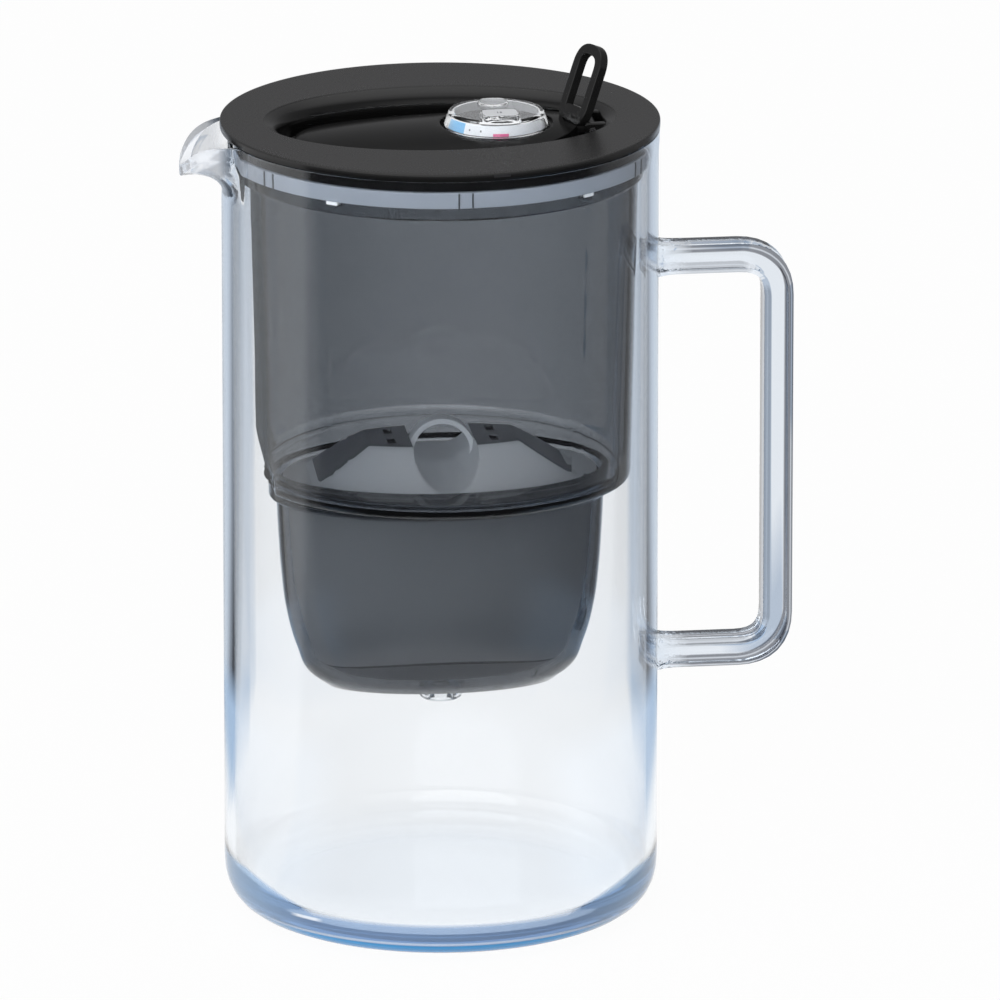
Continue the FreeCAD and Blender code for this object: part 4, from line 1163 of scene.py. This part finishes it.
bpy.ops.mesh.primitive_plane_add(size=24, location=(0, 0, -0.0004))
floor = bpy.context.object
floor.name = "floor"
ground = Finish(bpy.data.materials.new("white_ground"), "Principled BSDF")
ground.set(Base_Color=(0.9, 0.9, 0.9), Roughness=0.9, Specular_IOR_Level=0.0)
floor_x, floor_y, _ = ground.place()
reach = (floor_x * floor_x + floor_y * floor_y) ** 0.5
along = floor_x * math.cos(AWAY) + floor_y * math.sin(AWAY)
across = floor_x * math.sin(AWAY) - floor_y * math.cos(AWAY)


def sector(middle, half, soft):
    """1 inside a sector of the floor round the jug, by the cosine to its middle."""
    c, s = math.cos(math.radians(middle)), math.sin(math.radians(middle))
    low, high = math.cos(math.radians(half + soft)), math.cos(math.radians(half - soft))
    return ((floor_x * c + floor_y * s) / (reach + 0.01)).step(low, high)


def pale_lane(length, width):
    """1 on a lane that widens away from the jug, and on a patch round its near end."""
    lane = 1 - (width - length * 0.13).step(54.0, 64.0)
    patch = 1 - (((width * 1.6) ** 2.0 + (length - 70.0) ** 2.0) ** 0.5).step(150.0, 210.0)
    return lane * (length > 0.0) + patch


straight_sheet = pale_lane(along.size(), across.size()) + pale_lane(across.size(), along.size())
left_patch, right_patch = sector(163, 27, 1.5) * 0.6, sector(18, 24, 8) * 0.18
mirror_sheet = pale_lane(along, across.size()) + left_patch + right_patch
print("floor's lanes ready")

# %% White floor with a shadow
SHADOW = 0.04
BETWEEN_LANES, BY_FOOT, MIRROR_DARK = (0.6, 0.66, 0.74), (0.42, 0.55, 0.72), (0.04, 0.04, 0.045)

light_path = ground.add("LightPath").outputs
camera_ray = ground.number(light_path["Is Camera Ray"])
glossy_ray = ground.number(light_path["Is Glossy Ray"])
through_ray = ground.number(light_path["Is Transmission Ray"])
seen = (camera_ray + glossy_ray + through_ray).clipped()
bounced = ground.number(light_path["Glossy Depth"]) > 0.5
sheet = straight_sheet.clipped() * (1 - bounced) + mirror_sheet * bounced
sheet = (sheet + camera_ray).clipped()
by_foot = 1 - reach.step(240.0, 280.0)
straight_grey = ground.mix(by_foot, BETWEEN_LANES, BY_FOOT)
mirror_grey = ground.mix(sector(83, 36, 6), MIRROR_DARK, BETWEEN_LANES)
mirror_grey = ground.mix(by_foot * (1 - sector(-97, 55, 10)), mirror_grey, BY_FOOT)
grey = ground.mix(bounced, straight_grey, mirror_grey)
white = ground.add("Emission", Color=ground.mix(sheet, grey, (1, 1, 1)), Strength=1.0)
ground.cover(seen - camera_ray * SHADOW, white)
floor.data.materials.append(ground.owner)
print("floor ready")

# %% [markdown]
# ## The room and the lamp
#
# The room is bright in front on the left and above, and dim elsewhere, so that the glass has
# edges and one soft upright reflection. To the camera, and at the back through glass, it is
# white. It could be a ring of lamps, but a world that is worked out from the ray's direction
# has no hard edges for glass to show. One large, weak lamp in front gives the shadow.

# %% Room
room = Finish(bpy.data.worlds.new("studio_room"), "Background")
bpy.context.scene.world = room.owner
parts = room.add("SeparateXYZ", Vector=room.add("TexCoord").outputs["Generated"])
right, behind, up = (room.number(parts.outputs[k]) for k in range(3))
light_path = room.add("LightPath").outputs
camera_ray = room.number(light_path["Is Camera Ray"])
through_ray = room.number(light_path["Is Transmission Ray"])
mirrored = room.number(light_path["Is Glossy Ray"]) * (1 - through_ray)
front_box = (behind * -0.8 - right * 0.6).step(0.1, 0.8) * (1 - up.step(0.3, 0.65))
front_box = front_box * (1 - mirrored * 0.7)
top_box = up.step(0.6, 0.95) * 0.4
through_glass = through_ray * (behind - right * 0.3).step(0.0, 0.4)
lit = (front_box + top_box + (camera_ray + through_glass) * 0.46).clipped()
room.set(Color=room.mix(lit, (0.23, 0.23, 0.235), (1.9, 1.9, 1.9)), Strength=1.0)
print("room ready")

# %% Lamp
JUG_MIDDLE = Vector((0, 0, 0.12))

lamp = bpy.data.lights.new("front_lamp", "AREA")
lamp.shape, lamp.size, lamp.energy = "DISK", 3.0, 30
holder = bpy.data.objects.new("front_lamp", lamp)
holder.location = (-0.9, -2.2, 1.2)
holder.rotation_euler = (JUG_MIDDLE - holder.location).to_track_quat("-Z", "Y").to_euler()
holder.visible_glossy = False
bpy.context.scene.collection.objects.link(holder)
print("lamp ready")

# %% [markdown]
# ## The camera
#
# The picture was taken from far away with a long lens, a little above the lid. The camera turns
# so that the jug sits left of the middle, because the handle needs room on the right.

# %% Camera
AZIMUTH, ELEVATION, DISTANCE, LENS = math.radians(-7.0), math.radians(16.33), 4.5, 542.05
AIM_RIGHT, AIM_UP = 0.0178, 0.0046

cos_e = math.cos(ELEVATION)
back = Vector((math.sin(AZIMUTH) * cos_e, -math.cos(AZIMUTH) * cos_e, math.sin(ELEVATION)))
right_hand = Vector((math.cos(AZIMUTH), math.sin(AZIMUTH), 0))
aim = JUG_MIDDLE + right_hand * AIM_RIGHT + back.cross(right_hand) * AIM_UP
camera_data = bpy.data.cameras.new("camera")
camera_data.lens, camera_data.sensor_width = LENS, 36.0
camera_data.clip_end = 100
camera = bpy.data.objects.new("camera", camera_data)
camera.location = JUG_MIDDLE + back * DISTANCE
camera.rotation_euler = (aim - camera.location).to_track_quat("-Z", "Y").to_euler()
bpy.context.scene.collection.objects.link(camera)
bpy.context.scene.camera = camera
print("camera at", tuple(round(v, 3) for v in camera.location))

# %% [markdown]
# ## Light paths
#
# A ray here passes four walls of glass and plastic, each with two skins, so it needs many
# bounces before it comes out. Glossy blur would soften all that is seen through the smoky
# walls, so it is off.

# %% View and light paths
scene = bpy.context.scene
scene.view_settings.view_transform = "Standard"
scene.cycles.max_bounces = 32
scene.cycles.transmission_bounces = 28
scene.cycles.glossy_bounces = 8
scene.cycles.diffuse_bounces = 4
scene.cycles.transparent_max_bounces = 16
scene.cycles.blur_glossy = 0.0
